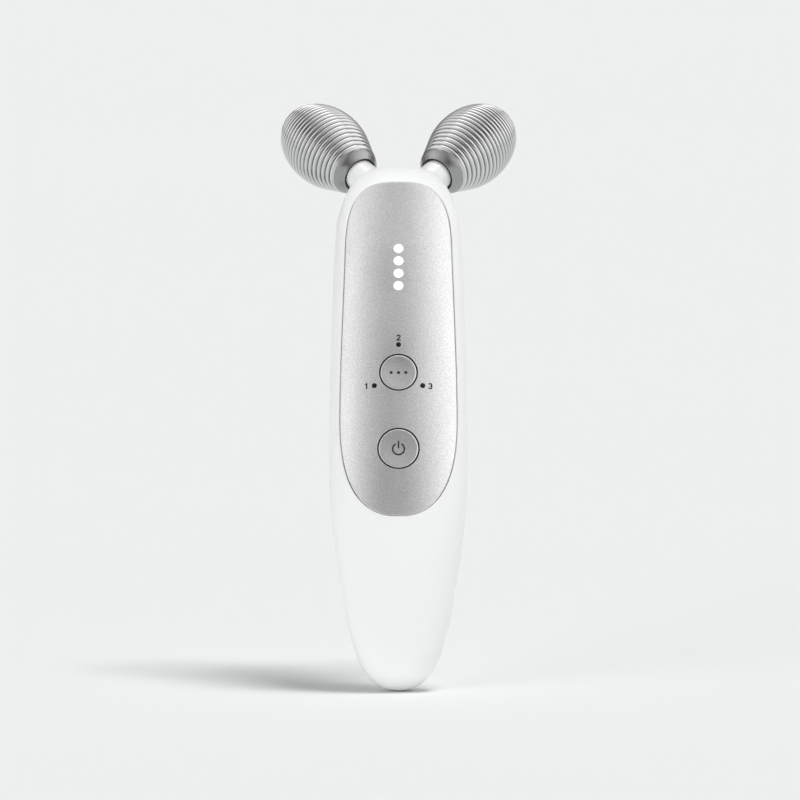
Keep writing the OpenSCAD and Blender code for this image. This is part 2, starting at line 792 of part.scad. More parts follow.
// The leads run up behind the cell, outside its pads
lead_angle = 63;
module charge_leads() {
    start = socket_len + socket_up + 1.05 - grip_h;
    r = battery_d/2 + pad_t + lead_d/2 + 0.15;
    for (side = [left, right]) {
        x = side*r*sin(lead_angle);
        y = r*cos(lead_angle);
        color(side == left ? "black" : "firebrick")
            lead(concat([[side*4, seam_y(0) + 1.5, start], [side*4, seam_y(0) + 1.5, start + 2]],
                        [for (z = [1, battery_len/2, battery_len + 1]) tail_pt(x, y, z)],
                        solder_pts(side*6.5, board_low + 7)));
    }
}

// ---- Arms: the yoke frame's +Z leans back between the arms, and each arm's +Z runs out along it ----

yoke_h = body_len - yoke_drop;
yoke_pt = [0, seam_y(yoke_h) + 0.8, yoke_h - grip_h];
yoke_wall = 0.9;
socket_end = 9.6;                           // length of the yoke's sockets from the meeting point
stem_start = 7.5;
stem_end = arm_reach - ridged_len - collar_len + 1.9;
collar_clear = 0.2;
lug_x = 9.4;
lug_z = -4;
lug_t = 3;
lug_d = 5;

module in_yoke() {
    translate(yoke_pt) rotate([-arm_lean, 0, 0]) children();
}

module on_arm(side) {
    in_yoke() rotate([0, side*arm_splay, 0]) children();
}

// Clears the stem, and keeps the housing off the roller's collar
module stem_hole(side) {
    on_arm(side) {
        translate([0, 0, socket_end - 2]) cylinder(h = 16, d = stem_d + 2*stem_gap);
        translate([0, 0, arm_reach - ridged_len - collar_len - collar_clear]) {
            cylinder(h = collar_len, r1 = collar_end_r + collar_clear, r2 = collar_r + collar_clear);
            translate([0, 0, collar_len - tiny]) cylinder(h = 4, r = collar_r + collar_clear);
        }
    }
}

module arm_yoke() {
    color("#d9d9d4") difference() {
        union() {
            in_yoke() {
                hull() for (side = [left, right])
                    translate([side*lug_x, 0, lug_z]) rotate([90, 0, 0])
                        cylinder(h = lug_t, d = lug_d, center = true);
                translate([-5, -4.5, lug_z - 1]) cube([10, 9, 5 - lug_z]);
            }
            for (side = [left, right]) on_arm(side)
                translate([0, 0, 1]) cylinder(h = socket_end - 1, d = stem_d + 2*yoke_wall);
        }
        for (side = [left, right]) on_arm(side) {
            translate([0, 0, stem_start]) cylinder(h = socket_end, d = stem_d + 2*fit_gap);
            translate([0, 0, -8]) cylinder(h = 20, d = axle_d + 2*fit_gap);
        }
        in_yoke() for (side = [left, right])
            translate([side*lug_x, 0, lug_z]) rotate([90, 0, 0])
                cylinder(h = lug_t + 2*past, d = post_screw_d + 2*fit_gap, center = true);
    }
}

// Bosses inside the head that the yoke's lugs are screwed to
yoke_boss_len = 4;
module yoke_boss(side) {
    translate([side*lug_x, -lug_t/2, lug_z]) rotate([90, 0, 0]) cylinder(h = yoke_boss_len, d = lug_d - 0.6);
}

module yoke_pilot(side) {
    translate([side*lug_x, -lug_t/2 + past, lug_z]) rotate([90, 0, 0])
        cylinder(h = yoke_boss_len - 1 + past, d = post_screw_d + 2*fit_gap);
}

module yoke_screws() {
    color(steel) in_yoke() for (side = [left, right])
        translate([side*lug_x, lug_t/2, lug_z]) rotate([90, 0, 0]) difference() {
            union() {
                translate([0, 0, -1]) cylinder(h = 1, d = 3);
                translate([0, 0, -tiny]) cylinder(h = lug_t + yoke_boss_len - 2, d = post_screw_d);
            }
            translate([0, 0, -1 - past]) cross_slot(0.5 + past);
        }
}

module electrode_leads() {
    for (side = [left, right])
        color(side == left ? "black" : "firebrick")
            lead([deck_pt(side*6, board_back + 0.05, board_high - 2),
                  deck_pt(side*6, board_back + 2.5, board_high - 2),
                  yoke_pt + [side*4, 3, -9],
                  yoke_pt + [side*2, 0.5, -6]]);
}

// ---- Stems, axles and rollers, each about its arm's +Z ----

seal_z = stem_end - 1;
seal_r = 0.45;
clip_z = arm_reach + 10.7;
axle_start = axle_d + 0.4;                   // clear of the other axle
axle_end = clip_z + 1.2;
bush_d = 7;
bush_len = 6;

module stem() {
    difference() {
        translate([0, 0, stem_start]) cylinder(h = stem_end - stem_start, d = stem_d);
        translate([0, 0, stem_start - past]) cylinder(h = stem_end, d = axle_d + 2*fit_gap);
        translate([0, 0, seal_z - seal_r]) difference() {
            cylinder(h = 2*seal_r, d = stem_d + 1);
            translate([0, 0, -past]) cylinder(h = 2*seal_r + 2*past, d = stem_d - 1.6);
        }
    }
}

module axle() {
    difference() {
        translate([0, 0, axle_start]) cylinder(h = axle_end - axle_start, d = axle_d);
        translate([0, 0, clip_z]) difference() {
            cylinder(h = 0.8, d = axle_d + 1);
            translate([0, 0, -past]) cylinder(h = 0.8 + 2*past, d = axle_d - 0.8);
        }
    }
}

// Outline of a roller: an ellipse that runs on as a cone towards the collar
cone_from = 8;
function egg_r(s) =
    let (r = roller_d/2, l = tip_len, at = -cone_from)
    s >= at ? r*sqrt(max(0, 1 - s*s/l/l))
            : r*sqrt(1 - at*at/l/l) + (s - at)*-r*at/l/l/sqrt(1 - at*at/l/l);
collar_r = egg_r(-ridged_len);
collar_end_r = stem_d/2 + 0.9;
collar_bore_r = stem_d/2 + stem_gap;
ridge_start = -ridged_len + ridge_pitch/2 + 0.3;
ridge_steps = 6;

// The ridges are rounded, with narrow grooves between them
function ridge_wave(s) =
    let (t = (s - ridge_start)/ridge_pitch)
    t < -0.5 || t > ridge_count - 0.5 ? 0 : 1 - sqrt(abs(cos(180*t)));
function shell_r(s) = egg_r(s) - ridge_depth*ridge_wave(s);
ridge_end = ridge_start + (ridge_count - 0.5)*ridge_pitch;
ridged_profile = [
    for (i = [0:ridge_count*ridge_steps])
        let (s = ridge_start - ridge_pitch/2 + i*ridge_pitch/ridge_steps) [shell_r(s), s]
];
tip_steps = 10;
function tip_s(i, l) = ridge_end + (l - ridge_end)*sin(90*i/tip_steps);
function inner_r(s) = max(0, egg_r(s) - ridge_depth - roller_wall);
mouth_r = inner_r(-ridged_len);
core_low = -ridged_len + 2.6;               // ends of the core, and the shoulder for the outer bush
core_top = 12.6;
core_shoulder = 9.9;
core_steps = 12;
seat_r = bush_d/2 + 0.02;
core_r_at = [
    for (i = [0:core_steps]) let (s = core_low + i*(core_top - core_low)/core_steps) [inner_r(s) - fit_gap, s]
];

module roller_shell() {
    translate([0, 0, arm_reach]) rotate_extrude($fn = 96) polygon(concat(
        [[mouth_r, -ridged_len], [egg_r(-ridged_len), -ridged_len]],
        [for (p = ridged_profile) if (p[1] > -ridged_len + 0.1) p],
        [for (i = [1:tip_steps - 1]) let (s = tip_s(i, tip_len)) [egg_r(s), s]],
        [[0, tip_len], [0, core_top + 0.8], [inner_r(core_top), core_top + 0.8]],
        [for (i = [core_steps:-1:1])
            let (s = -ridged_len + i*(core_top + ridged_len)/core_steps) [inner_r(s), s]]));
}

module roller_collar() {
    translate([0, 0, arm_reach - ridged_len]) rotate_extrude($fn = 96) polygon([
        [collar_bore_r, -collar_len + 0.25],
        [collar_bore_r + 0.2, -collar_len],
        [collar_end_r - 0.25, -collar_len],
        [collar_end_r, -collar_len + 0.25],
        [(collar_end_r + collar_r)/2 + 0.28, -collar_len/2],
        [collar_r, -0.05],
        [mouth_r - 0.1, -0.05],
        [mouth_r - 0.1, 2.4],
        [collar_bore_r, 2.4]
    ]);
}

module roller_core() {
    translate([0, 0, arm_reach]) rotate_extrude($fn = 72) polygon(concat(
        [[seat_r, core_low]], core_r_at,
        [[4.4, core_top], [4.4, core_shoulder], [seat_r, core_shoulder], [seat_r, core_shoulder - bush_len],
         [axle_d/2 + 0.6, core_shoulder - bush_len], [axle_d/2 + 0.6, core_low + bush_len],
         [seat_r, core_low + bush_len]]));
}

module bush(z) {
    translate([0, 0, arm_reach + z]) difference() {
        cylinder(h = bush_len, d = bush_d);
        translate([0, 0, -past]) cylinder(h = bush_len + 2*past, d = axle_d + 2*bush_gap);
    }
}

module washer() {
    translate([0, 0, clip_z - 0.6]) difference() {
        cylinder(h = 0.5, d = 7);
        translate([0, 0, -past]) cylinder(h = 3, d = axle_d + 2*fit_gap);
    }
}

// An open clip snapped into the groove of the axle
module clip() {
    translate([0, 0, clip_z + 0.05]) difference() {
        cylinder(h = 0.7, d = 7.4);
        translate([0, 0, -past]) cylinder(h = 3, d = axle_d - 0.8 + 2*fit_gap);
        translate([-(axle_d - 1.2)/2, 0, -past]) cube([axle_d - 1.2, 5, 3]);
    }
}

module stem_seal() {
    translate([0, 0, seal_z]) rotate_extrude()
        translate([stem_d/2 - seal_r + 0.1, 0]) circle(r = seal_r, $fn = 24);
}

module left_stem() { color(white) on_arm(left) stem(); }
module left_axle() { color(steel) on_arm(left) axle(); }
module left_stem_seal() { color(dark) on_arm(left) stem_seal(); }
module left_roller_shell() { color(satin) on_arm(left) roller_shell(); }
module left_roller_collar() { color(steel) on_arm(left) roller_collar(); }
module left_roller_core() { color("#6f7377") on_arm(left) roller_core(); }
module left_inner_bush() { color("#b08d4a") on_arm(left) bush(core_low); }
module left_outer_bush() { color("#b08d4a") on_arm(left) bush(core_shoulder - bush_len); }
module left_washer() { color(steel) on_arm(left) washer(); }
module left_clip() { color(dark) on_arm(left) clip(); }

module right_stem() { color(white) on_arm(right) stem(); }
module right_axle() { color(steel) on_arm(right) axle(); }
module right_stem_seal() { color(dark) on_arm(right) stem_seal(); }
module right_roller_shell() { color(satin) on_arm(right) roller_shell(); }
module right_roller_collar() { color(steel) on_arm(right) roller_collar(); }
module right_roller_core() { color("#6f7377") on_arm(right) roller_core(); }
module right_inner_bush() { color("#b08d4a") on_arm(right) bush(core_low); }
module right_outer_bush() { color("#b08d4a") on_arm(right) bush(core_shoulder - bush_len); }
module right_washer() { color(steel) on_arm(right) washer(); }
module right_clip() { color(dark) on_arm(right) clip(); }

front_housing();
rear_housing();
housing_screws();
screw_plugs();
faceplate();
plate_adhesive();
mode_button();
mode_symbol();
mode_plunger();
mode_switch();
power_button();
power_symbol();
power_plunger();
power_switch();
button_seals();
level_light_guide();
mode_light_guide();
level_leds();
mode_leds();
main_board();
board_screws();
control_chip();
charge_chip();
pulse_coil();
capacitors();
battery_cell();
battery_pads();
battery_leads();
socket_shell();
socket_tongue();
socket_board();
charge_leads();
arm_yoke();
yoke_screws();
electrode_leads();
left_stem();
left_axle();
left_stem_seal();
left_roller_shell();
left_roller_collar();
left_roller_core();
left_inner_bush();
left_outer_bush();
left_washer();
left_clip();
right_stem();
right_axle();
right_stem_seal();
right_roller_shell();
right_roller_collar();
right_roller_core();
right_inner_bush();
right_outer_bush();
right_washer();
right_clip();
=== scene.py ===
import bpy, bmesh, json, math
import numpy as np
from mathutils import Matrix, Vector


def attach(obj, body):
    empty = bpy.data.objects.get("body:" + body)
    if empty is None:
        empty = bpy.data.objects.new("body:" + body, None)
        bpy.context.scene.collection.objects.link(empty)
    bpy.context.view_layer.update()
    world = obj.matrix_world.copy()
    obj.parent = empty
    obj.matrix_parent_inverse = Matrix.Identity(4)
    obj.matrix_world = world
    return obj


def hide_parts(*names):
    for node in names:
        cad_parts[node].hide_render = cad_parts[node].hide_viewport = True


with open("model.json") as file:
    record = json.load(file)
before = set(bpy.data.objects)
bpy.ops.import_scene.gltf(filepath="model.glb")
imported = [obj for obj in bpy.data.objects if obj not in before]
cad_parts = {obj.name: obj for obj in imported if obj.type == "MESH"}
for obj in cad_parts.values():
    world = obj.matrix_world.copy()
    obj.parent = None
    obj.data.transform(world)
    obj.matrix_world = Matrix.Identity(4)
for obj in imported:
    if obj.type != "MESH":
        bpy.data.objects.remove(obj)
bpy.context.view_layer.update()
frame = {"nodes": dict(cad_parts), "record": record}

# Sizes in millimetres, as in the part's source, but for the faceplate's top edge, which is drawn 0.6 mm lower and
# rounder, and from which LEVEL_DOWN is measured
BODY_LEN, BODY_W, BODY_T, HEAD_BACK, WALL = 157.5, 41.5, 29.0, 37.5, 2.2
TAIL_ROUND, HEAD_ROUND, SEAM_GAP = 13.0, 19.5, 0.12
PLATE_LEN, PLATE_TOP_EDGE, PLATE_W, PLATE_T = 100.1, 4.7, 35.1, 1.0
PLATE_LOW_ROUND, PLATE_TOP_ROUND = 30.3, 22.0
PROUD, PLATE_GAP, ADHESIVE = 0.12, 0.3, 0.2
MODE_D, POWER_D, POWER_UP, BUTTON_PITCH, BUTTON_GAP = 11.0, 12.1, 20.2, 22.8, 0.3
FLANGE_LIP, FLANGE_TOP, FLANGE_T, MARK_DEPTH = 0.9, 3.6, 0.8, 0.4
PLUNGER_R, PLUNGER_TOP, BORE_ROOM = 1.7, 5.4, 0.15
LEVEL_COUNT, LEVEL_D, LEVEL_PITCH, LEVEL_DOWN = 4, 2.8, 3.72, 19.94
MODE_LIGHT_D, MODE_LIGHT_RING, MODE_LIGHT_AT = 1.5, 8.3, (90, 209, 331)
GUIDE_TOP, GUIDE_FOOT = 6.7, 8.6
YOKE_DROP, ARM_LEAN, ARM_SPLAY, ARM_REACH = 12.1, 57.1, 33.45, 39.4
STEM_D, STEM_GAP, STEM_START, AXLE_D = 9.6, 0.15, 7.5, 4.0
ROLLER_D, TIP_LEN, RIDGED_LEN, COLLAR_LEN = 23.6, 17.1, 15.6, 3.0
RIDGES, RIDGE_PITCH, RIDGE_DEPTH, ROLLER_WALL = 19, 1.53, 0.54, 1.0
PLUG_D, PLUG_DEEP = 5.2, 4.6
SCREWS = [(12.284, 50.05), (12.409, 116.0)]  # out from the middle, and up from the tail
PILOT_R, SHANK_R, BOSS_R, BACK_BOSS_R = 1.05, 1.2, 2.7, 3.6
SOCKET_W, SOCKET_H, SOCKET_DEEP = 9.14, 3.4, 8.1
GRIP_H = BODY_LEN/2
# the powers of the body's section and of its head's end: 2 is an ellipse, and more is squarer
P_SECTION, P_HEAD = 2.2, 2.8
FRONT, BACK = -1, 1
SIDES = (-1, 1)


# ---------- the body's outline, the same tables and formulas as the source ----------

def table(*pairs):
    """A smooth curve through the pairs: their places, heights and slopes."""
    x, y = np.array(pairs, float).T
    lo, hi = np.maximum(np.arange(len(x)) - 1, 0), np.minimum(np.arange(len(x)) + 1, len(x) - 1)
    return x, y, (y[hi] - y[lo])/(x[hi] - x[lo])


# each as a share of a whole size, by the share of the length from the tail or the plate's low end
WIDTH = table((0, .588), (.057, .602), (.132, .74), (.21, .841), (.317, .957), (.381, .995), (.5, 1),
              (.688, .969), (.879, .904), (.94, .825), (1, .79))
LEAN = table((0, -.467), (.05, -.437), (.127, -.37), (.254, -.253), (.381, -.125), (.5, 0), (.608, .144),
             (.698, .28), (.806, .483), (.876, .645), (.933, .82), (1, 1))
FRONT_AT = table((0, .24), (.05, .27), (.127, .324), (.254, .407), (.381, .455), (.5, .466), (.698, .486),
                 (.876, .517), (1, .528))
BACK_AT = table((0, .276), (.05, .31), (.127, .366), (.254, .455), (.381, .51), (.5, .534), (.698, .548),
                (.876, .586), (1, .6))
PLATE_AT = table((0, 1), (.3, 1), (.45, .983), (.66, .937), (.79, .909), (1, .875))


def smooth_at(tab, x):
    X, Y, S = tab
    x = np.asarray(x, float)
    i = np.clip(np.searchsorted(X, x, side="right") - 1, 0, len(X) - 2)
    d = X[i + 1] - X[i]
    t = (x - X[i])/d
    return ((2*t**3 - 3*t**2 + 1)*Y[i] + (t**3 - 2*t**2 + t)*d*S[i]
            + (3*t**2 - 2*t**3)*Y[i + 1] + (t**3 - t**2)*d*S[i + 1])


def round_end(t, p):
    t = np.clip(t, 0, 1)
    return np.maximum(0, 1 - t**p)**(1/p)


def ends(h):
    return round_end((TAIL_ROUND - h)/TAIL_ROUND, 2)*round_end((h - BODY_LEN + HEAD_ROUND)/HEAD_ROUND, P_HEAD)


def half_w(h):
    return BODY_W/2*smooth_at(WIDTH, h/BODY_LEN)*ends(h)


def seam_y(h):
    return HEAD_BACK*smooth_at(LEAN, h/BODY_LEN)


def depth(h, face):
    return BODY_T*smooth_at(FRONT_AT if face == FRONT else BACK_AT, h/BODY_LEN)*ends(h)


def face_y(x, h, face):
    w = np.maximum(half_w(h), 1e-6)
    r = np.maximum(0, 1 - np.minimum(1, np.abs(x)/w)**P_SECTION)
    return seam_y(h) + face*depth(h, face)*r**(1/P_SECTION)


def face_normal(x, h, face, e=.05):
    n = np.stack([-(face_y(x + e, h, face) - face_y(x - e, h, face))/(2*e), np.ones_like(x + h),
                  -(face_y(x, h + e, face) - face_y(x, h - e, face))/(2*e)], -1)
    return face*n/np.linalg.norm(n, axis=-1, keepdims=True)


def face_pt(x, h, face, d=0.):
    """Points on the body's face, or d below it."""
    x, h = np.broadcast_arrays(np.asarray(x, float), np.asarray(h, float))
    p = np.stack([x, face_y(x, h, face), h - GRIP_H], -1)
    return p - np.asarray(d)[..., None]*face_normal(x, h, face)


def outer_normal(p, shift=0.):
    """Outward normal of the body at points p, from its implicit form; zero near the two ends."""
    def f(q):
        h = np.clip(q[:, 2] + GRIP_H, 0, BODY_LEN)
        dy = q[:, 1] - shift - seam_y(h)
        d = np.where(dy < 0, depth(h, FRONT), depth(h, BACK))
        return ((np.abs(q[:, 0])/np.maximum(half_w(h), 1e-3))**P_SECTION
                + (np.abs(dy)/np.maximum(d, 1e-3))**P_SECTION)
    e, end = 1e-3, .25
    g = np.stack([f(p + np.eye(3)[k]*e) - f(p - np.eye(3)[k]*e) for k in range(3)], -1)
    n = g/np.maximum(np.linalg.norm(g, axis=1, keepdims=True), 1e-12)
    h = p[:, 2] + GRIP_H
    n[(h < end) | (h > BODY_LEN - end)] = 0
    return n


# ---------- the deck's frame: across, depth and up along the faceplate ----------

PLATE_TOP = BODY_LEN - PLATE_TOP_EDGE
PLATE_LOW = PLATE_TOP - PLATE_LEN
POWER_H = PLATE_LOW + POWER_UP
MODE_H = POWER_H + BUTTON_PITCH
_power, _mode = face_pt(0, POWER_H, FRONT), face_pt(0, MODE_H, FRONT)
TILT = math.atan2(_mode[1] - _power[1], BUTTON_PITCH)
DECK_O = (_power + _mode)/2
BUTTON_V = BUTTON_PITCH/math.cos(TILT)/2
COS, SIN = math.cos(TILT), math.sin(TILT)


def to_deck(p):
    q = np.asarray(p) - DECK_O
    return np.stack([q[..., 0], q[..., 1]*COS - q[..., 2]*SIN, q[..., 1]*SIN + q[..., 2]*COS], -1)


def deck_pt(x, d, v):
    x, d, v = np.broadcast_arrays(*[np.asarray(k, float) for k in (x, d, v)])
    return DECK_O + np.stack([x, d*COS + v*SIN, -d*SIN + v*COS], -1)


def deck_surface(x, v):
    """Depth below the deck of the body's face, found in steps that each close most of what is left."""
    d = np.zeros(np.broadcast(x, v).shape)
    for _ in range(8):
        h = deck_pt(x, d, v)[..., 2] + GRIP_H
        y = face_y(x, h, FRONT)
        d = d + (y - deck_pt(x, d, v)[..., 1])/COS*.9
    return d


LEVELS = [to_deck(face_pt(0, PLATE_TOP - LEVEL_DOWN - i*LEVEL_PITCH, FRONT)) for i in range(LEVEL_COUNT)]
MODES = [to_deck(face_pt(MODE_LIGHT_RING*math.cos(math.radians(a)),
                         MODE_H + MODE_LIGHT_RING*math.sin(math.radians(a)), FRONT)) for a in MODE_LIGHT_AT]
LIGHTS = [(p, LEVEL_D) for p in LEVELS] + [(p, MODE_LIGHT_D) for p in MODES]
BUTTONS = [(-BUTTON_V, POWER_D), (BUTTON_V, MODE_D)]


def plate_half(h, g=0.):
    """Half the width at height h of the faceplate's outline grown by g."""
    t = (h - PLATE_LOW + g)/(PLATE_LEN + 2*g)
    up = t*PLATE_LEN
    return (PLATE_W/2*smooth_at(PLATE_AT, t)*round_end((PLATE_LOW_ROUND - up)/PLATE_LOW_ROUND, 2.5)
            * round_end((up - PLATE_LEN + PLATE_TOP_ROUND)/PLATE_TOP_ROUND, 3)
            + g*np.minimum(1, np.minimum(8*t, 8*(1 - t))))


# ---------- mesh helpers, in millimetres ----------

def link(name, me, angle=None, smooth=True):
    ob = bpy.data.objects.new(name, me)
    bpy.context.scene.collection.objects.link(ob)
    me.polygons.foreach_set("use_smooth", [smooth]*len(me.polygons))
    if angle:
        me.set_sharp_from_angle(angle=math.radians(angle))
    return ob


def make(name, verts, faces, smooth=True, angle=None):
    me = bpy.data.meshes.new(name)
    me.from_pydata([tuple(v) for v in np.asarray(verts)*.001], [], [tuple(int(i) for i in f) for f in faces])
    bm = bmesh.new()
    bm.from_mesh(me)
    bmesh.ops.remove_doubles(bm, verts=bm.verts, dist=1e-7)
    bmesh.ops.dissolve_degenerate(bm, edges=bm.edges, dist=1e-8)
    bmesh.ops.recalc_face_normals(bm, faces=bm.faces)
    bm.to_mesh(me)
    bm.free()
    return link(name, me, angle, smooth)


def grid_faces(rows, cols, base=0, wrap=False):
    out = []
    for i in range(rows - 1):
        for j in range(cols if wrap else cols - 1):
            k = (j + 1) % cols
            out.append((base + i*cols + j, base + i*cols + k, base + (i + 1)*cols + k, base + (i + 1)*cols + j))
    return out


def join(name, parts, angle=None):
    me = bpy.data.meshes.new(name)
    bm = bmesh.new()
    for p in parts:
        bm.from_mesh(p.data)
    bm.to_mesh(me)
    bm.free()
    for p in parts:
        bpy.data.objects.remove(p)
    return link(name, me, angle)


def cut(ob, cutters):
    """Takes the cutters out of the object, and removes them."""
    for c in cutters:
        m = ob.modifiers.new("cut", "BOOLEAN")
        m.operation, m.object, m.solver = "DIFFERENCE", c, "EXACT"
    bpy.context.view_layer.update()
    me = bpy.data.meshes.new_from_object(ob.evaluated_get(bpy.context.evaluated_depsgraph_get()))
    ob.modifiers.clear()
    old, ob.data = ob.data, me
    bpy.data.meshes.remove(old)
    for c in cutters:
        bpy.data.objects.remove(c)
    me.polygons.foreach_set("use_smooth", [True]*len(me.polygons))


def points_mm(me):
    co = np.empty(len(me.vertices)*3)
    me.vertices.foreach_get("co", co)
    return co.reshape(-1, 3)*1000


def set_normals(ob, fn, angle=25, agree=.97):
    """Exact surface normals for the faces that lie on the surface; sharp edges by angle elsewhere."""
    me = ob.data
    me.set_sharp_from_angle(angle=math.radians(angle))
    exact = fn(points_mm(me))
    loops = np.zeros((len(me.loops), 3))
    for p in me.polygons:
        vi = list(p.vertices)
        e = exact[vi]
        m = e.sum(0)
        s = np.linalg.norm(m)
        if s > 1e-6 and np.dot(m/s, p.normal) > agree and (np.linalg.norm(e, axis=1) > .5).all():
            loops[p.loop_start:p.loop_start + p.loop_total] = e
    me.normals_split_custom_set([tuple(v) for v in loops])


def frame_on(o, z, x=(1, 0, 0)):
    """Origin and axes for a shape turned about z."""
    z = np.asarray(z, float)/np.linalg.norm(z)
    x = np.asarray(x, float)
    x = x - z*np.dot(x, z)
    x /= np.linalg.norm(x)
    return np.asarray(o, float), x, np.cross(z, x), z


def lathe(name, profile, at, seg=96, close=True, angle=None):
    """Turns the (radius, height) profile about the frame's z; close joins its last point to its first."""
    o, ex, ey, ez = at
    a = np.arange(seg)*2*math.pi/seg
    ring = np.cos(a)[:, None]*ex + np.sin(a)[:, None]*ey
    prof = list(profile) + ([profile[0]] if close else [])
    v = np.concatenate([o + r*ring + z*ez for r, z in prof])
    return make(name, v, grid_faces(len(prof), seg, wrap=True), angle=angle)


def rod(name, p0, p1, r, seg=48):
    p0, p1 = np.asarray(p0, float), np.asarray(p1, float)
    length = np.linalg.norm(p1 - p0)
    return lathe(name, [(0, 0), (r, 0), (r, length), (0, length)], frame_on(p0, p1 - p0, (1, .01, 0)), seg,
                 close=False, angle=30)


def tube(name, p0, p1, r, bore, seg=40):
    p0, p1 = np.asarray(p0, float), np.asarray(p1, float)
    length = np.linalg.norm(p1 - p0)
    return lathe(name, [(bore, 0), (r, 0), (r, length), (bore, length)],
                 frame_on(p0, p1 - p0, (1, .01, 0)), seg, angle=30)


def button_holes(room, above, seg=48):
    """Cutters through the deck, wider than each button by room all round."""
    return [rod("hole", deck_pt(0, -above, v), deck_pt(0, 5, v), d/2 + room, seg) for v, d in BUTTONS]


def light_holes(room, above, below, seg):
    """Cutters through the face, wider than each light by room all round."""
    return [rod("hole", deck_pt(p[0], p[1] - above, p[2]), deck_pt(p[0], p[1] + below, p[2]), d/2 + room, seg)
            for p, d in LIGHTS]


# ---------- node helpers ----------

def put(tree, socket, value):
    """Sets a socket, or links it where the value is another node's output."""
    if isinstance(value, bpy.types.NodeSocket):
        tree.links.new(value, socket)
    else:
        socket.default_value = value


def math_node(tree, op, *values):
    n = tree.nodes.new("ShaderNodeMath")
    n.operation = op
    for i, v in enumerate(values):
        put(tree, n.inputs[i], v)
    return n.outputs[0]


def map_range(tree, value, lo, hi, a, b, smooth=False):
    """Goes from a to b as the value goes from lo to hi."""
    n = tree.nodes.new("ShaderNodeMapRange")
    if smooth:
        n.interpolation_type = "SMOOTHSTEP"
    for name, v in (("Value", value), ("From Min", lo), ("From Max", hi), ("To Min", a), ("To Max", b)):
        put(tree, n.inputs[name], v)
    return n.outputs["Result"]


def noise(tree, scale, detail):
    n = tree.nodes.new("ShaderNodeTexNoise")
    n.inputs["Scale"].default_value = scale
    n.inputs["Detail"].default_value = detail
    put(tree, n.inputs["Vector"], tree.nodes.new("ShaderNodeTexCoord").outputs["Object"])
    return n.outputs["Fac"]


def shaded(tree, colour, shade):
    n = tree.nodes.new("ShaderNodeVectorMath")
    n.operation = "SCALE"
    n.inputs[0].default_value = colour
    put(tree, n.inputs["Scale"], shade)
    return n.outputs[0]


# ---------- materials ----------

NOISE_LOW, NOISE_HIGH = .3, .7   # where nearly all of a noise lies
BROAD_LOW, BROAD_HIGH = .25, .75
COAT_ROUGH, ROUGH_SPREAD, ROUGH_LEAST = .12, .12, .02
BUMP_HEIGHT = .00004
# painted shade: over this share of a groove's depth its colour darkens
GROOVE_FROM, GROOVE_TO = .2, .8  # the share of a groove's depth over which it darkens


def material(name, base, rough, bump, metal=0., coat=0., spec=.5, grain=0., tint=0., wear=0., fine=9000.,
             broad=60., emit=0., groove=0.):
    """A principled material whose colour, roughness and surface all vary by a fine and a broad noise, given per metre.

    grain and tint are their shares in the colour, wear adds to the broad one's in the roughness, and groove is how
    much painted shade darkens the colour in the mesh's grooves."""
    m = bpy.data.materials.new(name)
    m.use_nodes = True
    tree = m.node_tree
    b = tree.nodes["Principled BSDF"].inputs
    b["Metallic"].default_value = metal
    b["Coat Weight"].default_value = coat
    b["Coat Roughness"].default_value = COAT_ROUGH
    b["Specular IOR Level"].default_value = spec
    flakes, clouds = noise(tree, fine, 3), noise(tree, broad, 4)
    shade = math_node(tree, "MULTIPLY", map_range(tree, flakes, NOISE_LOW, NOISE_HIGH, 1 - grain, 1 + grain),
                      map_range(tree, clouds, NOISE_LOW, NOISE_HIGH, 1 - tint, 1 + tint))
    if groove:
        # painted shade: the grooves' colour is darkened, standing in for the shade that falls in them
        at = tree.nodes.new("ShaderNodeAttribute")
        at.attribute_name = "groove"
        painted_groove_shade = map_range(tree, at.outputs["Fac"], GROOVE_FROM, GROOVE_TO, 1, 1 - groove)
        shade = math_node(tree, "MULTIPLY", shade, painted_groove_shade)
    put(tree, b["Base Color"], shaded(tree, base, shade))
    put(tree, b["Roughness"], map_range(tree, clouds, BROAD_LOW, BROAD_HIGH,
                                        max(ROUGH_LEAST, rough*(1 - ROUGH_SPREAD - wear)),
                                        min(1, rough*(1 + ROUGH_SPREAD + wear))))
    bumps = tree.nodes.new("ShaderNodeBump")
    bumps.inputs["Strength"].default_value = bump
    bumps.inputs["Distance"].default_value = BUMP_HEIGHT
    put(tree, bumps.inputs["Height"], flakes)
    put(tree, b["Normal"], bumps.outputs["Normal"])
    if emit:
        b["Emission Color"].default_value = (1, 1, 1, 1)
        b["Emission Strength"].default_value = emit
    return m


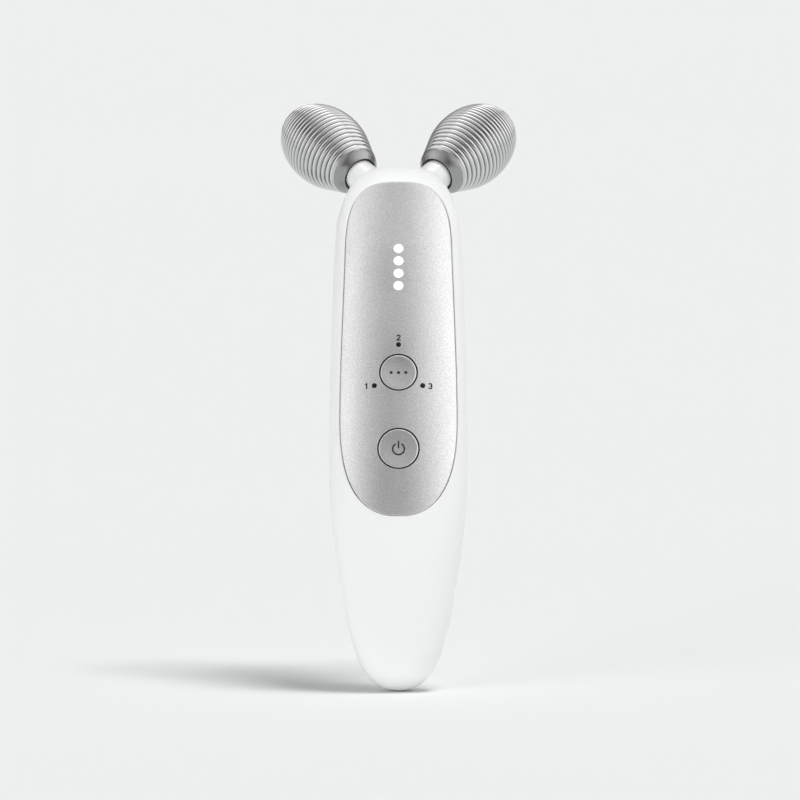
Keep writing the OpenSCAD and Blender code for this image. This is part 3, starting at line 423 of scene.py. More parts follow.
# colour, roughness, bump, and what else a material has
LOOKS = {
    "white_shell": ((.852, .857, .857), .38, .05, dict(coat=.04, spec=.22, grain=.012, tint=.006, wear=.1,
                                                       fine=2600, broad=45)),
    "white_stem": ((.76, .765, .77), .22, .04, dict(coat=.4, grain=.01, tint=.01, fine=2200, broad=120)),
    "white_plug": ((.83, .83, .83), .55, .2, dict(grain=.02, tint=.01, fine=5000)),
    "satin_plate": ((.74, .74, .745), .36, .5, dict(metal=1, grain=.2, tint=.012, wear=.06, fine=3300)),
    "satin_button": ((.74, .74, .745), .33, .4, dict(metal=1, grain=.16, tint=.01, wear=.06, fine=3300)),
    # the roller's groove value paints shade into its grooves
    "roller": ((.67, .67, .675), .12, .12, dict(metal=1, grain=.05, tint=.03, wear=.2, fine=4200, groove=.7)),
    # painted shade: the collar is the roller's metal drawn darker, for the darker reflections it shows
    "roller_collar": ((.36, .36, .365), .29, .25, dict(metal=1, grain=.08, tint=.03, wear=.1, fine=4200)),
    "dark_mark": ((.025, .025, .028), .6, .1, dict(spec=.25, grain=.1, tint=.05)),
    "black_rubber": ((.012, .012, .013), .6, .4, dict(grain=.15, tint=.1, fine=5000)),
    "black_plastic": ((.02, .02, .022), .45, .3, dict(grain=.15, tint=.08)),
    "white_guide": ((.95, .95, .95), .25, .05, dict(coat=.5, grain=.01, tint=.005, emit=.9)),
    "dark_guide": ((.006, .006, .007), .3, .05, dict(spec=.3, grain=.1, tint=.05)),
    # the adhesive's black also darkens the plate's gap, as painted shade
    "adhesive": ((.02, .02, .02), .8, .4, dict(grain=.2, tint=.1)),
    "led": ((.9, .85, .6), .3, .1, dict(coat=.8, grain=.03, tint=.05)),
    "board": ((.02, .16, .07), .35, .5, dict(coat=.3, grain=.2, tint=.12, fine=1600, broad=300)),
    "coil": ((.05, .05, .055), .6, .8, dict(grain=.2, tint=.1, fine=1200)),
    "capacitor": ((.2, .24, .36), .3, .1, dict(metal=.4, grain=.05, tint=.05)),
    "cell": ((.05, .22, .5), .3, .15, dict(coat=.4, grain=.03, tint=.06, fine=900)),
    "foam": ((.03, .03, .03), .95, 1, dict(grain=.4, tint=.15, fine=2000)),
    "lead": ((.45, .02, .02), .4, .1, dict(grain=.05, tint=.05)),
    "steel": ((.6, .6, .61), .28, .2, dict(metal=1, grain=.06, tint=.06, wear=.2)),
    "yoke": ((.72, .72, .69), .5, .3, dict(grain=.05, tint=.04, fine=3000)),
    "roller_core": ((.16, .165, .17), .5, .3, dict(grain=.1, tint=.06)),
    "bronze": ((.62, .42, .2), .35, .4, dict(metal=1, grain=.15, tint=.08, fine=2600)),
}
M = {name: material(name, base, rough, bump, **more) for name, (base, rough, bump, more) in LOOKS.items()}

SLOT_OF = {s["node"]: s["material_slot"] for s in frame["record"]["subparts"]}
for node, ob in frame["nodes"].items():
    look = M["white_stem" if node in ("left_stem", "right_stem") else SLOT_OF[node]]
    if not ob.data.materials:
        ob.data.materials.append(look)
    for slot in ob.material_slots:
        slot.material = look


def piece(ob, mat, body, node=None):
    """Dresses a new piece in a material, and says which body it rides on and which node it stands for."""
    ob.data.materials.clear()
    ob.data.materials.append(M[mat])
    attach(ob, body)
    if node:
        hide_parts(node)


# ---------- housings ----------

def row_heights(tail=18, middle=96, head=30):
    """Heights of the body's rows, closer together towards its two ends."""
    t = TAIL_ROUND*(1 - np.cos(np.linspace(0, math.pi/2, tail + 1)))
    m = np.linspace(TAIL_ROUND, BODY_LEN - HEAD_ROUND, middle + 1)
    e = BODY_LEN - HEAD_ROUND*(1 - np.cos(np.linspace(math.pi/2, 0, head + 1)))
    return np.concatenate([t, m[1:], e[1:]])


def body_ring(h, a):
    c, s = np.cos(a), np.sin(a)
    d = np.where(s >= 0, depth(h, FRONT), depth(h, BACK))
    return np.stack([half_w(h)*np.sign(c)*np.abs(c)**(2/P_SECTION),
                     seam_y(h) - d*np.sign(s)*np.abs(s)**(2/P_SECTION), np.full_like(c, h - GRIP_H)], -1)


SEAM_SOFT, SEAM_SOFT_AT = .14, math.radians(.9)  # how far the edge along the seam draws in, and from where


def half_shell(name, face, a0, a1, shift=0., cols=84):
    """One housing, an outer and an inner skin from angle a0 to a1, joined along the seam and closed at both ends."""
    near = SEAM_SOFT_AT*np.sign(a1 - a0)
    ang = np.concatenate([[a0, a0 + near], np.linspace(a0, a1, cols + 1)[1:-1], [a1 - near, a1]])
    inset = np.zeros(len(ang))
    inset[[0, -1]] = SEAM_SOFT
    outer, inner = [], []
    for h in row_heights()[1:-1]:
        p = body_ring(h, ang)
        # nudged to this half's side of the seam, where the body's depth changes
        n = outer_normal(p + [0, 1e-4*face, 0])
        n[np.linalg.norm(n, axis=1) < .5] = (0, 0, math.copysign(1, h - GRIP_H))
        outer.append(p - inset[:, None]*n)
        inner.append(p - WALL*n)
    low, top = (body_ring(h, np.array([math.pi/2]))[0] for h in (0, BODY_LEN))
    tips = [low, top, low + [0, 0, WALL], top - [0, 0, WALL]]
    v = np.concatenate([np.concatenate(outer), np.concatenate(inner), tips])
    rows, n = len(outer), len(ang)
    skin, last = rows*n, (rows - 1)*n
    b = 2*skin
    f = grid_faces(rows, n) + grid_faces(rows, n, skin)
    for j in range(n - 1):
        f += [(b, j, j + 1), (b + 1, last + j, last + j + 1),
              (b + 2, skin + j, skin + j + 1), (b + 3, skin + last + j, skin + last + j + 1)]
    for j in (0, n - 1):
        for i in range(rows - 1):
            f.append((i*n + j, (i + 1)*n + j, skin + (i + 1)*n + j, skin + i*n + j))
        f += [(b, j, skin + j, b + 2), (b + 1, last + j, skin + last + j, b + 3)]
    return make(name, v + [0, shift, 0], f)


def outline(g, n=420):
    """Evenly spaced points round the faceplate grown by g, and their inward normals, across and up."""
    t = (1 - np.cos(np.linspace(0, math.pi, 1200)))/2
    h = PLATE_LOW - g + (PLATE_LEN + 2*g)*t
    x = plate_half(h, g)
    x[[0, -1]] = 0
    q = np.concatenate([np.stack([x, h], 1), np.stack([-x, h], 1)[-2:0:-1]])
    q = np.concatenate([q, q[:1]])
    s = np.concatenate([[0], np.cumsum(np.linalg.norm(np.diff(q, axis=0), axis=1))])
    u = np.linspace(0, s[-1], n, endpoint=False)
    p = np.stack([np.interp(u, s, q[:, 0]), np.interp(u, s, q[:, 1])], 1)
    d = np.roll(p, -1, 0) - np.roll(p, 1, 0)
    d /= np.linalg.norm(d, axis=1, keepdims=True)
    return p, np.stack([-d[:, 1], d[:, 0]], 1)


def slab(name, grow, profile, rings=70, pinch=0.):
    """A plate on the body's face: profile is (inset from the outline, depth) from its underside to its face, and
    pinch is how much narrower it is at its two ends."""
    p, n = outline(grow)
    centre = np.array([0, PLATE_LOW + PLATE_LEN*.5])
    near = np.minimum(p[:, 1] - PLATE_LOW, PLATE_TOP - p[:, 1])
    p = p + n*pinch*np.clip(1.2 - near/6, 0, 1)[:, None]
    rows = []

    def ring(q, d):
        rows.append(face_pt(q[:, 0], q[:, 1], FRONT, d))

    under, top = p + profile[0][0]*n, p + profile[-1][0]*n
    scales = np.linspace(0, 1, rings)[:-1]
    for s in scales:
        ring(centre + (under - centre)*s, profile[0][1])
    for inset, d in profile:
        ring(p + inset*n, d)
    for s in scales[::-1]:
        ring(centre + (top - centre)*s, profile[-1][1])
    return make(name, np.concatenate(rows), grid_faces(len(rows), len(p), wrap=True))


RECESS = PLATE_T - PROUD + ADHESIVE
RECESS_PINCH = .22
YOKE_H = BODY_LEN - YOKE_DROP
YOKE = np.array([0, float(seam_y(YOKE_H)) + .8, YOKE_H - GRIP_H])


def arm(side, s=0.):
    """Frame on an arm, s along it from the point where the arms meet."""
    sp, le = math.radians(ARM_SPLAY), math.radians(ARM_LEAN)
    d = np.array([side*math.sin(sp), math.cos(sp)*math.sin(le), math.cos(sp)*math.cos(le)])
    return frame_on(YOKE + s*d, d, (0, -1, 0))


def arm_hole(side):
    o, x, y, z = arm(side, STEM_START + .1)
    return rod("hole", o, o + 16*z, STEM_D/2 + STEM_GAP, 96)


def socket_hole():
    y = float(seam_y(0)) + SEAM_GAP/2
    a = np.linspace(-math.pi/2, math.pi/2, 17)
    r, w = SOCKET_H/2, (SOCKET_W - SOCKET_H)/2
    ring = np.concatenate([np.stack([w + r*np.cos(a), r*np.sin(a)], 1),
                           np.stack([-w - r*np.cos(a), -r*np.sin(a)], 1)])
    n = len(ring)
    v = np.concatenate([np.concatenate([ring[:, :1], ring[:, 1:] + y, np.full((n, 1), z)], 1)
                        for z in (-GRIP_H - 1, -GRIP_H + SOCKET_DEEP)])
    return make("hole", v, grid_faces(2, n, wrap=True) + [tuple(range(n)), tuple(range(n, 2*n))], smooth=False)


def plug_seat(x, h):
    return float(face_y(x, h, BACK)) - PLUG_DEEP


BOSS_SINK = WALL*.8  # bosses start inside the wall

shell = half_shell("front_shell", FRONT, 0, math.pi)
cut(shell, [slab("recess", PLATE_GAP, [(0, RECESS), (0, .2), (-.14, .0), (-.14, -1.)], pinch=RECESS_PINCH)]
    + button_holes(BORE_ROOM, 1) + light_holes(.1, 1, 5, 32)
    + [arm_hole(-1), arm_hole(1), socket_hole()])
set_normals(shell, outer_normal)
ribs = []
for side in SIDES:
    for x, h in SCREWS:
        y0, y1 = float(face_y(x + 2, h, FRONT)) + BOSS_SINK, float(seam_y(h))
        ribs.append(tube("boss", (side*x, y0, h - GRIP_H), (side*x, y1, h - GRIP_H), BOSS_R, PILOT_R))
for v, d in BUTTONS:
    ribs.append(tube("guide", deck_pt(0, 2.75, v), deck_pt(0, 3.5, v), d/2 + 2.05, d/2 + BORE_ROOM))
piece(join("front_shell_ribs", ribs, 30), "white_shell", "handle")
piece(shell, "white_shell", "handle", "front_housing")

shell = half_shell("rear_shell", BACK, 2*math.pi, math.pi, SEAM_GAP)
cut(shell, [rod("plug_hole", (side*x, plug_seat(x, h), h - GRIP_H), (side*x, 60, h - GRIP_H), PLUG_D/2, 64)
            for side in SIDES for x, h in SCREWS] + [arm_hole(-1), arm_hole(1), socket_hole()])
set_normals(shell, lambda p: outer_normal(p, SEAM_GAP))
piece(shell, "white_shell", "handle", "rear_housing")
bosses = []
for side in SIDES:
    for x, h in SCREWS:
        y0, y1 = float(seam_y(h)) + SEAM_GAP, float(face_y(x + 3, h, BACK)) - BOSS_SINK
        seat = plug_seat(x, h)
        bosses.append(lathe("boss", [(SHANK_R, y0), (BACK_BOSS_R, y0), (BACK_BOSS_R, y1), (PLUG_D/2, y1),
                                     (PLUG_D/2, seat), (SHANK_R, seat)],
                            frame_on((side*x, 0, h - GRIP_H), (0, 1, 0)), 40, angle=30))
piece(join("rear_shell_bosses", bosses, 30), "white_shell", "handle")


def screw_plug(x0, h0, seg=72):
    """A soft plug that follows the back of the body."""
    a = np.arange(seg)*2*math.pi/seg
    profile = [(0, 2.9), (2.55, 2.9), (2.55, .3), (2.5, .14), (2.38, .06), (1.9, .03), (.9, .02), (0, .02)]
    v = [face_pt(x0 + r*np.cos(a), h0 + r*np.sin(a), BACK, np.full(seg, d)) for r, d in profile]
    return make("plug", np.concatenate(v), grid_faces(len(v), seg, wrap=True), angle=40)


piece(join("back_plugs", [screw_plug(side*x, h) for side in SIDES for x, h in SCREWS], 40),
      "white_plug", "handle", "screw_plugs")

# ---------- faceplate, its adhesive, whose dark bead paints shade into the plate's gap, and the printed numbers ---

HOLE_EDGE = .06  # how much wider than the gaps the plate's holes are cut, where the rims cover the cut

panel = slab("face_panel", 0, [(0, PLATE_T - PROUD), (0, .12), (.04, 0), (.12, -.06), (.24, -.1), (.4, -PROUD)])
cut(panel, button_holes(HOLE_EDGE + BUTTON_GAP, 3, 128) + light_holes(.05, 2, 4, 48))

# the adhesive under the plate, grown to rise into the plate's gap: its dark rim there is painted shade, darkening the
# line round the plate
glue_and_gap_shade = slab("glue_and_gap_shade_sheet", PLATE_GAP*.55, [(.4, RECESS - .02), (0, RECESS - .02), (0, .42), (.12, .36), (.5, .36),
                                          (.5, PLATE_T - PROUD + .02)], 40, RECESS_PINCH)
cut(glue_and_gap_shade, button_holes(1.3, 3, 96) + light_holes(.2, 2, 4, 40))
piece(glue_and_gap_shade, "adhesive", "handle", "plate_adhesive")


def panel_normal(p):
    """The face's normal, which turns back less than the body does over the plate's last stretch."""
    h = np.clip(p[:, 2] + GRIP_H, PLATE_LOW, PLATE_TOP)
    n = face_normal(p[:, 0], h, FRONT)
    on = np.abs(np.einsum("ij,ij->i", p - face_pt(p[:, 0], h, FRONT), n) - PROUD) < .03
    flat = BODY_LEN - HEAD_ROUND - 3
    n = face_normal(p[:, 0]*.97, np.where(h > flat, flat + (h - flat)*.15, h), FRONT)
    return np.where(on[:, None], n, 0)


set_normals(panel, panel_normal, agree=.9)
piece(panel, "satin_plate", "handle", "faceplate")


def on_deck(name, v0, profile, seg=128, x0=0., angle=35, tall=1.):
    """A turned shape that follows the faceplate: profile is (radius, depth, how far it follows the face)."""
    a = np.arange(seg)*2*math.pi/seg
    verts = []
    for r, d, f in profile:
        x, v = x0 + r*np.cos(a), v0 + tall*r*np.sin(a)
        verts.append(deck_pt(x, f*(deck_surface(x, v) if f else 0) + d, v))
    return make(name, np.concatenate(verts), grid_faces(len(verts), seg, wrap=True), angle=angle)


def hole_rim(v0, r, x0=0., w=.16, seg=128):
    return on_deck("rim", v0, [(r + w*1.2, -PROUD + .02, 1), (r + w, -PROUD - .012, 1),
                               (r + w*.45, -PROUD - .012, 1), (r, -PROUD + .06, 1), (r, .4, 1),
                               (r + w*1.2, .4, 1), (r + w*1.2, -PROUD + .02, 1)], seg, x0, angle=60)


piece(join("hole_rims", [hole_rim(v, d/2 + BUTTON_GAP + .04) for v, d in BUTTONS]
           + [hole_rim(p[2], MODE_LIGHT_D/2 + .03, p[0], .13, 48) for p in MODES], 60),
      "satin_plate", "handle")


def stroke(pts, width, top, thick=.03, caps=8):
    """A flat line with round ends on a surface: top(x, v) is its depth."""
    p = np.array(pts, float)
    d = np.gradient(p, axis=0)
    d /= np.linalg.norm(d, axis=1, keepdims=True)
    n = np.stack([-d[:, 1], d[:, 0]], 1)*width/2
    a = np.linspace(math.pi/2, 3*math.pi/2, caps + 2)[1:-1]
    far = [p[-1] + np.sin(k)*n[-1] - np.cos(k)*d[-1]*width/2 for k in a]
    near = [p[0] - np.sin(k)*n[0] + np.cos(k)*d[0]*width/2 for k in a]
    ring = np.array(list(p + n) + far + list((p - n)[::-1]) + near)
    k, m = len(ring), len(p)
    z = top(ring[:, 0], ring[:, 1])
    v = np.concatenate([deck_pt(ring[:, 0], z, ring[:, 1]), deck_pt(ring[:, 0], z + thick, ring[:, 1])])
    f = []
    for i in range(m - 1):
        j0, j1 = 2*m + caps - 1 - i, 2*m + caps - 2 - i
        f.append((i, i + 1, j1, j0))
        f.append((k + i, k + j0, k + j1, k + i + 1))
    far_end, near_end = range(m - 1, m + caps + 1), range(2*m + caps - 1, k)
    f += [tuple(far_end), (0, *near_end)]
    f += [tuple(k + i for i in reversed(far_end)), (k, *(k + i for i in reversed(near_end)))]
    f += [(i, (i + 1) % k, k + (i + 1) % k, k + i) for i in range(k)]
    return make("stroke", v, f, angle=30)


def arc(cx, cy, r, a0, a1, n=24, ry=None):
    a = np.radians(np.linspace(a0, a1, n))
    return np.stack([cx + r*np.cos(a), cy + (ry or r)*np.sin(a)], 1)


def upright(x, v0, v1, n=8):
    return np.stack([np.full(n, x), np.linspace(v0, v1, n)], 1)


def digit(ch):
    """The strokes of a plain 1, 2 or 3, about 2 high."""
    if ch == "1":
        return [np.array([[-.34, .62], [.0, .95]]), upright(0., .95, -.95)]
    if ch == "2":
        return [np.concatenate([arc(0, .4, .55, 165, -38, 20), [[-.55, -.95]]]),
                np.stack([np.linspace(-.55, .6, 6), np.full(6, -.95)], 1)]
    return [arc(-.02, .47, .5, 150, -80, 20, .48), arc(-.02, -.46, .56, 82, -150, 22, .5)]


def face_top(x, v):
    return deck_surface(x, v) - PROUD - .014


labels = []
for ch, p, dx, dv in zip("213", MODES, (0, -2.3, 2.3), (2.2, 0, 0)):
    labels += [stroke(s*[.8, .84] + [p[0] + dx, p[2] + dv], .4, face_top) for s in digit(ch)]
piece(join("mode_numbers", labels, 30), "dark_mark", "handle")

# ---------- buttons ----------

DISH, CAP_EDGE, MARK_PROUD = .4, .55, .012


def cap_face(x, v, v0, r):
    """Depth of the dished face of a cap of radius r."""
    rho = np.sqrt(x*x + (v - v0)**2)/(r - CAP_EDGE)
    return deck_surface(x, v) - PROUD + DISH*np.maximum(0, 1 - rho**2)


def button_cap(name, v0, d, seg=128):
    r = d/2 - .1
    a = np.arange(seg)*2*math.pi/seg
    verts = []
    for q in (r - CAP_EDGE)*np.linspace(0, 1, 24)[:-1]:
        x, v = q*np.cos(a), v0 + q*np.sin(a)
        verts.append(deck_pt(x, cap_face(x, v, v0, r), v))
    for q, e in ((r - CAP_EDGE, 0), (r - .35, -.015), (r - .2, .0), (r - .09, .05), (r - .03, .12), (r, .24)):
        x, v = q*np.cos(a), v0 + q*np.sin(a)
        verts.append(deck_pt(x, deck_surface(x, v) - PROUD + e, v))
    foot = FLANGE_TOP + FLANGE_T
    for q, e in ((r, FLANGE_TOP), (r + FLANGE_LIP - .1, FLANGE_TOP), (r + FLANGE_LIP, FLANGE_TOP + .1),
                 (r + FLANGE_LIP, foot), (PLUNGER_R, foot), (PLUNGER_R, PLUNGER_TOP), (0, PLUNGER_TOP)):
        verts.append(deck_pt(q*np.cos(a), e, v0 + q*np.sin(a)))
    return make(name, np.concatenate(verts), grid_faces(len(verts), seg, wrap=True), angle=40)


piece(button_cap("mode_cap", BUTTON_V, MODE_D), "satin_button", "mode_key", "mode_button")
piece(button_cap("power_cap", -BUTTON_V, POWER_D), "satin_button", "power_key", "power_button")


def on_mode(x, v):
    return cap_face(x, v, BUTTON_V, MODE_D/2) - MARK_PROUD


def on_power(x, v):
    return cap_face(x, v, -BUTTON_V, POWER_D/2) - MARK_PROUD


def dot(x0, v0, r, top, seg=40):
    a = np.arange(seg)*2*math.pi/seg
    rings = [(0, 0), (r*.5, 0), (r*.9, 0), (r, .02), (r, MARK_DEPTH), (0, MARK_DEPTH)]
    v = [deck_pt(x0 + q*np.cos(a), top(x0 + q*np.cos(a), v0 + q*np.sin(a)) + e, v0 + q*np.sin(a)) for q, e in rings]
    return make("dot", np.concatenate(v), grid_faces(len(v), seg, wrap=True), angle=40)


piece(join("mode_pips", [dot(x, BUTTON_V, .5, on_mode) for x in (-2.2, 0, 2.2)], 40),
      "dark_mark", "mode_key", "mode_symbol")
piece(join("standby_sign", [stroke(arc(0, -BUTTON_V - .12, 1.76, 126, 414, 48), .5, on_power, .05),
                            stroke(upright(0., .3, 2.25) - [0, BUTTON_V], .46, on_power, .05)], 30),
      "dark_mark", "power_key", "power_symbol")


def seal(v0, d):
    r = d/2
    return on_deck("seal", v0, [(r + .1, .55, 1), (r + .14, .38, 1), (r + .24, .34, 1), (r + .28, .45, 1),
                                (r + .28, 1.0, 1), (r + 1.05, 1.95, 0), (r + 1.05, 2.68, 0), (r + .14, 2.68, 0),
                                (r + .1, .55, 1)], angle=50)


piece(join("seal_rings", [seal(v, d) for v, d in BUTTONS], 50), "black_rubber", "handle", "button_seals")

# ---------- lights ----------

def lens(p, d, foot, wide, dome, tall=1.):
    """A domed light on its guide, which widens from GUIDE_TOP down to foot."""
    r = d/2
    prof = [(r*t, -PROUD - dome*(1 - t*t), 1) for t in (0, .3, .55, .75, .9)]
    prof += [(r*.98, -PROUD + .02, 1), (r, .1, 1), (r, GUIDE_TOP, 0), (wide, GUIDE_TOP, 0), (wide, foot, 0),
             (0, foot, 0)]
    return on_deck("lens", p[2], prof, 56, p[0], 40, tall)


corners = [deck_pt(x, d, v) for x in (-2, 2) for d in (GUIDE_TOP + .02, GUIDE_FOOT)
           for v in (LEVELS[-1][2] - 2, LEVELS[0][2] + 2)]
bar = make("bar", corners, [(0, 1, 3, 2), (4, 6, 7, 5), (0, 4, 5, 1), (2, 3, 7, 6), (0, 2, 6, 4), (1, 5, 7, 3)],
           smooth=False)
# the level lights look slightly oval in the photo
piece(join("level_lenses", [lens(p, LEVEL_D - .06, GUIDE_TOP + .05, LEVEL_D/2 - .1, .1, .87) for p in LEVELS]
           + [bar], 40), "white_guide", "handle", "level_light_guide")
piece(join("mode_lenses", [lens(p, MODE_LIGHT_D, GUIDE_FOOT, (MODE_LIGHT_D + 1.2)/2, .12) for p in MODES], 40),
      "dark_guide", "handle", "mode_light_guide")

# ---------- stems and rollers ----------

EGG_JOIN = -8.  # below this, the egg's outline goes on in a straight line


def egg(s):
    """Radius of a roller's outline, s along its axis from its widest place."""
    r, l, at = ROLLER_D/2, TIP_LEN, EGG_JOIN
    e = r*np.sqrt(np.maximum(0, 1 - s*s/l/l))
    k = math.sqrt(1 - at*at/l/l)
    return np.where(s >= at, e, r*k + (s - at)*-r*at/l/l/k)


START = -RIDGED_LEN + RIDGE_PITCH/2 + .3
END = START + (RIDGES - .5)*RIDGE_PITCH
COLLAR_R, COLLAR_END = float(egg(np.array(-RIDGED_LEN))), STEM_D/2 + .9
BORE = STEM_D/2 + STEM_GAP
SKIN_IN, SKIN_TOP = 1.42, 13.4  # the shell's inside: how far in it lies, and where it ends
MOUTH = ARM_REACH - RIDGED_LEN - COLLAR_LEN
STEM_END = MOUTH + 1.9


def ridged(s):
    t = (s - START)/RIDGE_PITCH
    wave = np.where((t < -.5) | (t > RIDGES - .5), 0, 1 - np.abs(np.cos(math.pi*t))**.85)
    return egg(s) - RIDGE_DEPTH*wave


def ridge_rows(steps=14):
    """Places along the ridges, with more points in the sharp grooves than on the round ridges."""
    t = np.arange(0, RIDGES*steps + 1)/steps - .5
    t = np.floor(t + .5) + np.tanh((t + .5 - np.floor(t + .5) - .5)*3.2)/np.tanh(1.6)*.5
    return np.unique(np.round(START + np.clip(t, -.5, RIDGES - .5)*RIDGE_PITCH, 5))


def roller_skin(name, at):
    """The ridged shell, with how deep in a groove each point lies as its attribute groove, which its material uses to
    paint shade into the grooves.
    """
    s = ridge_rows()
    tip = (END + (TIP_LEN - END)*np.sin(np.linspace(0, math.pi/2, 16))[1:])[:-1]
    inner = np.linspace(12.6, -RIDGED_LEN, 24)
    prof = [(COLLAR_R - 1.4, -RIDGED_LEN), (COLLAR_R - .12, -RIDGED_LEN), (COLLAR_R, -RIDGED_LEN + .1)]
    prof += [(r, z) for r, z in zip(ridged(s), s) if z > -RIDGED_LEN + .12]
    prof += list(zip(egg(tip), tip)) + [(0, TIP_LEN), (0, SKIN_TOP), (egg(inner[0]) - SKIN_IN, SKIN_TOP)]
    prof += [(egg(z) - SKIN_IN, z) for z in inner[1:]]
    skin = lathe(name, prof, at, 160, angle=70)
    co = points_mm(skin.data) - at[0]
    along = co@at[3]
    low = egg(along) - np.linalg.norm(co - along[:, None]*at[3], axis=1)
    mask = skin.data.attributes.new("groove", "FLOAT", "POINT")
    mask.data.foreach_set("value", np.where(low < ROLLER_WALL*.9, np.clip(low/RIDGE_DEPTH, 0, 1), 0))
    return skin


def roller_cone(name, at):
    """The smooth collar at a roller's inner end, slightly bulged."""
    c, end = -RIDGED_LEN, -RIDGED_LEN - COLLAR_LEN
    t = np.linspace(.04, 1, 12)
    cone = zip(COLLAR_END + (COLLAR_R - COLLAR_END)*t + .28*np.sin(math.pi*t),
               -COLLAR_LEN + .25 + (COLLAR_LEN - .33)*t + c)
    prof = [(BORE, end + .9), (COLLAR_END - .22, end + .9), (COLLAR_END - .2, end + .04), (COLLAR_END - .14, end),
            (COLLAR_END - .05, end + .05), (COLLAR_END, end + .2), *cone, (COLLAR_R - .12, c - .02),
            (COLLAR_R - 1.52, c - .02), (COLLAR_R - 1.52, c + 2.4), (BORE, c + 2.4)]
    return lathe(name, prof, at, 128, angle=50)


def stem_tube(name, at):
    """A stem, with its groove for the seal."""
    r, end, bore = STEM_D/2, STEM_END, AXLE_D/2 + .05
    prof = [(bore, STEM_START), (r - .2, STEM_START), (r, STEM_START + .2), (r, end - 1.6), (r - .8, end - 1.6),
            (r - .8, end - .55), (r, end - .55), (r, end - .2), (r - .2, end), (bore, end)]
    return lathe(name, prof, at, 96, angle=35)


def stem_seal(name, at):
    """A seal, whose lip fills the mouth of the collar."""
    r, end = STEM_D/2, STEM_END
    prof = [(r - .7, MOUTH + .5), (r - .02, MOUTH + .28), (r + .2, MOUTH + .2), (r + .5, MOUTH + .3),
            (r + .56, MOUTH + .45), (r + .56, MOUTH + .75), (r + .05, MOUTH + .82), (r - .02, end - .6),
            (r - .7, end - .6)]
    return lathe(name, prof, at, 96, angle=40)


for side, sx in (("left", -1), ("right", 1)):
    body, roller_at, stem_at = side + "_roller", arm(sx, ARM_REACH), arm(sx)
    piece(roller_skin(side + "_roller_skin", roller_at), "roller", body, side + "_roller_shell")
    piece(roller_cone(side + "_roller_cone", roller_at), "roller_collar", body, side + "_roller_collar")
    piece(stem_tube(side + "_stem_tube", stem_at), "white_stem", "handle", side + "_stem")
    piece(stem_seal(side + "_seal_ring", stem_at), "black_rubber", "handle", side + "_stem_seal")

# ---------- floor, lights, camera, in metres ----------

FLOOR_SLOPE = math.tan(math.radians(5.5))  # rises towards the back, through the tip of the tail
FLOOR_SIZE, FLOOR_CELLS = 30., 8
FLOOR_COLOR, FLOOR_VARIES = (.838, .852, .847), .005
BACKGROUND = .87
# name, degrees from the front towards the photo's right, degrees up, strength, degrees across
SUNS = (("key", 100, 75, .62, 19), ("left_fill", -39.6, 8, .39, 45), ("right_fill", 62, 8, .13, 45))
SKY_LOW, SKY_TOP = .94, .18
MIRROR_FRONT, MIRROR_RISE, MIRROR_SIDE, MIRROR_LEAN, MIRROR_STRIP, MIRROR_TOP = .04, .52, 1.12, .12, .2, 2.5
VIEW_WIDTH, VIEW_X, VIEW_Z, VIEW_AWAY = .240, .00045, .00864, 3


def floor_material():
    m = bpy.data.materials.new("floor")
    m.use_nodes = True
    tree = m.node_tree
    b = tree.nodes["Principled BSDF"]
    b.inputs["Roughness"].default_value = .9
    b.inputs["Specular IOR Level"].default_value = .1
    cloud = map_range(tree, noise(tree, 3, 2), 0, 1, 1 - FLOOR_VARIES, 1 + FLOOR_VARIES)
    put(tree, b.inputs["Base Color"], shaded(tree, FLOOR_COLOR, cloud))
    # a camera under the floor, as in a view from low behind, looks through it
    under = math_node(tree, "MULTIPLY", tree.nodes.new("ShaderNodeNewGeometry").outputs["Backfacing"],
                      tree.nodes.new("ShaderNodeLightPath").outputs["Is Camera Ray"])
    both = tree.nodes.new("ShaderNodeMixShader")
    for i, v in enumerate((under, b.outputs[0], tree.nodes.new("ShaderNodeBsdfTransparent").outputs[0])):
        put(tree, both.inputs[i], v)
    put(tree, tree.nodes["Material Output"].inputs["Surface"], both.outputs[0])
    return m


y0, z0 = float(seam_y(0))*.001, -GRIP_H*.001
spots = np.linspace(-FLOOR_SIZE, FLOOR_SIZE, FLOOR_CELLS + 1)
me = bpy.data.meshes.new("floor")
me.from_pydata([(x, y, z0 + (y - y0)*FLOOR_SLOPE) for y in spots for x in spots], [],
               grid_faces(FLOOR_CELLS + 1, FLOOR_CELLS + 1))
me.materials.append(floor_material())
ob = bpy.data.objects.new("floor", me)
bpy.context.scene.collection.objects.link(ob)

for name, azimuth, elevation, strength, angle in SUNS:
    lamp = bpy.data.lights.new(name, "SUN")
    lamp.energy, lamp.angle = strength*math.pi, math.radians(angle)
    ob = bpy.data.objects.new(name, lamp)
    bpy.context.scene.collection.objects.link(ob)
    az, el = math.radians(azimuth), math.radians(elevation)
    away = Vector((math.sin(az)*math.cos(el), -math.cos(az)*math.cos(el), math.sin(el)))
    ob.rotation_euler = away.to_track_quat("Z", "Y").to_euler()
    ob.visible_glossy = False

world = bpy.data.worlds.new("studio")
bpy.context.scene.world = world
world.use_nodes = True
tree = world.node_tree


def add(a, b):
    return math_node(tree, "ADD", a, b)


def times(a, b):
    return math_node(tree, "MULTIPLY", a, b)


def step(v, lo, hi, a, b):
    return map_range(tree, v, lo, hi, a, b, smooth=True)


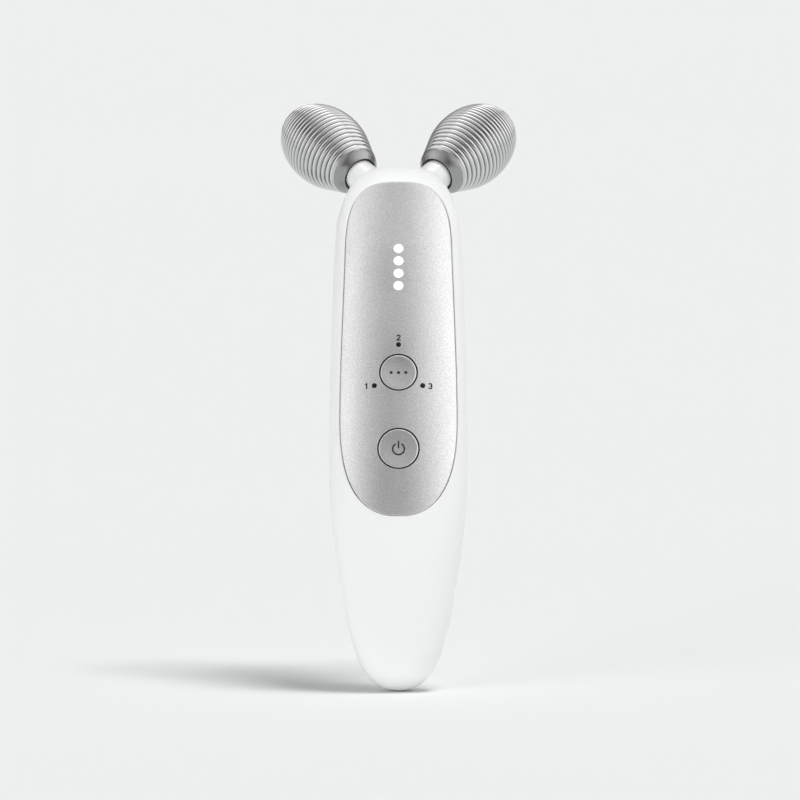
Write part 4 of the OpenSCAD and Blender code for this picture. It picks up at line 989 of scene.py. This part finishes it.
def pick(factor, a, b):
    """a where the factor is 0, and b where it is 1."""
    n = tree.nodes.new("ShaderNodeMix")
    n.data_type = "FLOAT"
    for i, v in ((0, factor), (2, a), (3, b)):
        put(tree, n.inputs[i], v)
    return n.outputs[0]


sep = tree.nodes.new("ShaderNodeSeparateXYZ")
put(tree, sep.inputs[0], tree.nodes.new("ShaderNodeTexCoord").outputs["Generated"])
X, Y, Z = (sep.outputs[i] for i in range(3))
# what lights the object: a plain sky, brighter low down
sky = step(Z, .2, .6, SKY_LOW, SKY_TOP)
# what metal shows: dim low in front, brighter higher up and to both sides
off = math_node(tree, "ABSOLUTE", add(X, .06))
studio = add(times(Z, MIRROR_RISE), MIRROR_FRONT)
studio = add(studio, times(off, MIRROR_SIDE))
studio = add(studio, times(X, MIRROR_LEAN))
# dimmer at the back and high up, and a pale strip far to the left
studio = times(studio, step(Y, .2, .6, 1, .42))
studio = times(studio, step(Z, .7, .93, 1, .74))
studio = add(studio, times(step(times(X, -1), .6, .8, 0, MIRROR_STRIP), step(Y, -.3, .1, 1, 0)))
# brightest overhead, and a little in the middle behind
over = times(step(Z, .87, .93, 0, 1), step(Y, -.22, -.04, 0, 1))
behind = times(step(math_node(tree, "ABSOLUTE", X), .1, .3, .22, 0), step(Y, .1, .5, 0, 1))
over = math_node(tree, "MAXIMUM", over, behind)
studio = add(studio, times(over, math_node(tree, "SUBTRACT", MIRROR_TOP, studio)))
path = tree.nodes.new("ShaderNodeLightPath")
seen = pick(path.outputs["Is Camera Ray"], pick(path.outputs["Is Glossy Ray"], sky, studio), BACKGROUND)
bg = tree.nodes["Background"]
bg.inputs["Color"].default_value = (1, 1, 1, 1)
put(tree, bg.inputs["Strength"], seen)

bpy.context.scene.view_settings.view_transform = "Standard"

cam = bpy.data.cameras.new("camera")
cam.type, cam.ortho_scale, cam.clip_end = "ORTHO", VIEW_WIDTH, 100
cam_ob = bpy.data.objects.new("camera", cam)
bpy.context.scene.collection.objects.link(cam_ob)
cam_ob.location = (VIEW_X, -VIEW_AWAY, VIEW_Z)
cam_ob.rotation_euler = (math.pi/2, 0, 0)
bpy.context.scene.camera = cam_ob
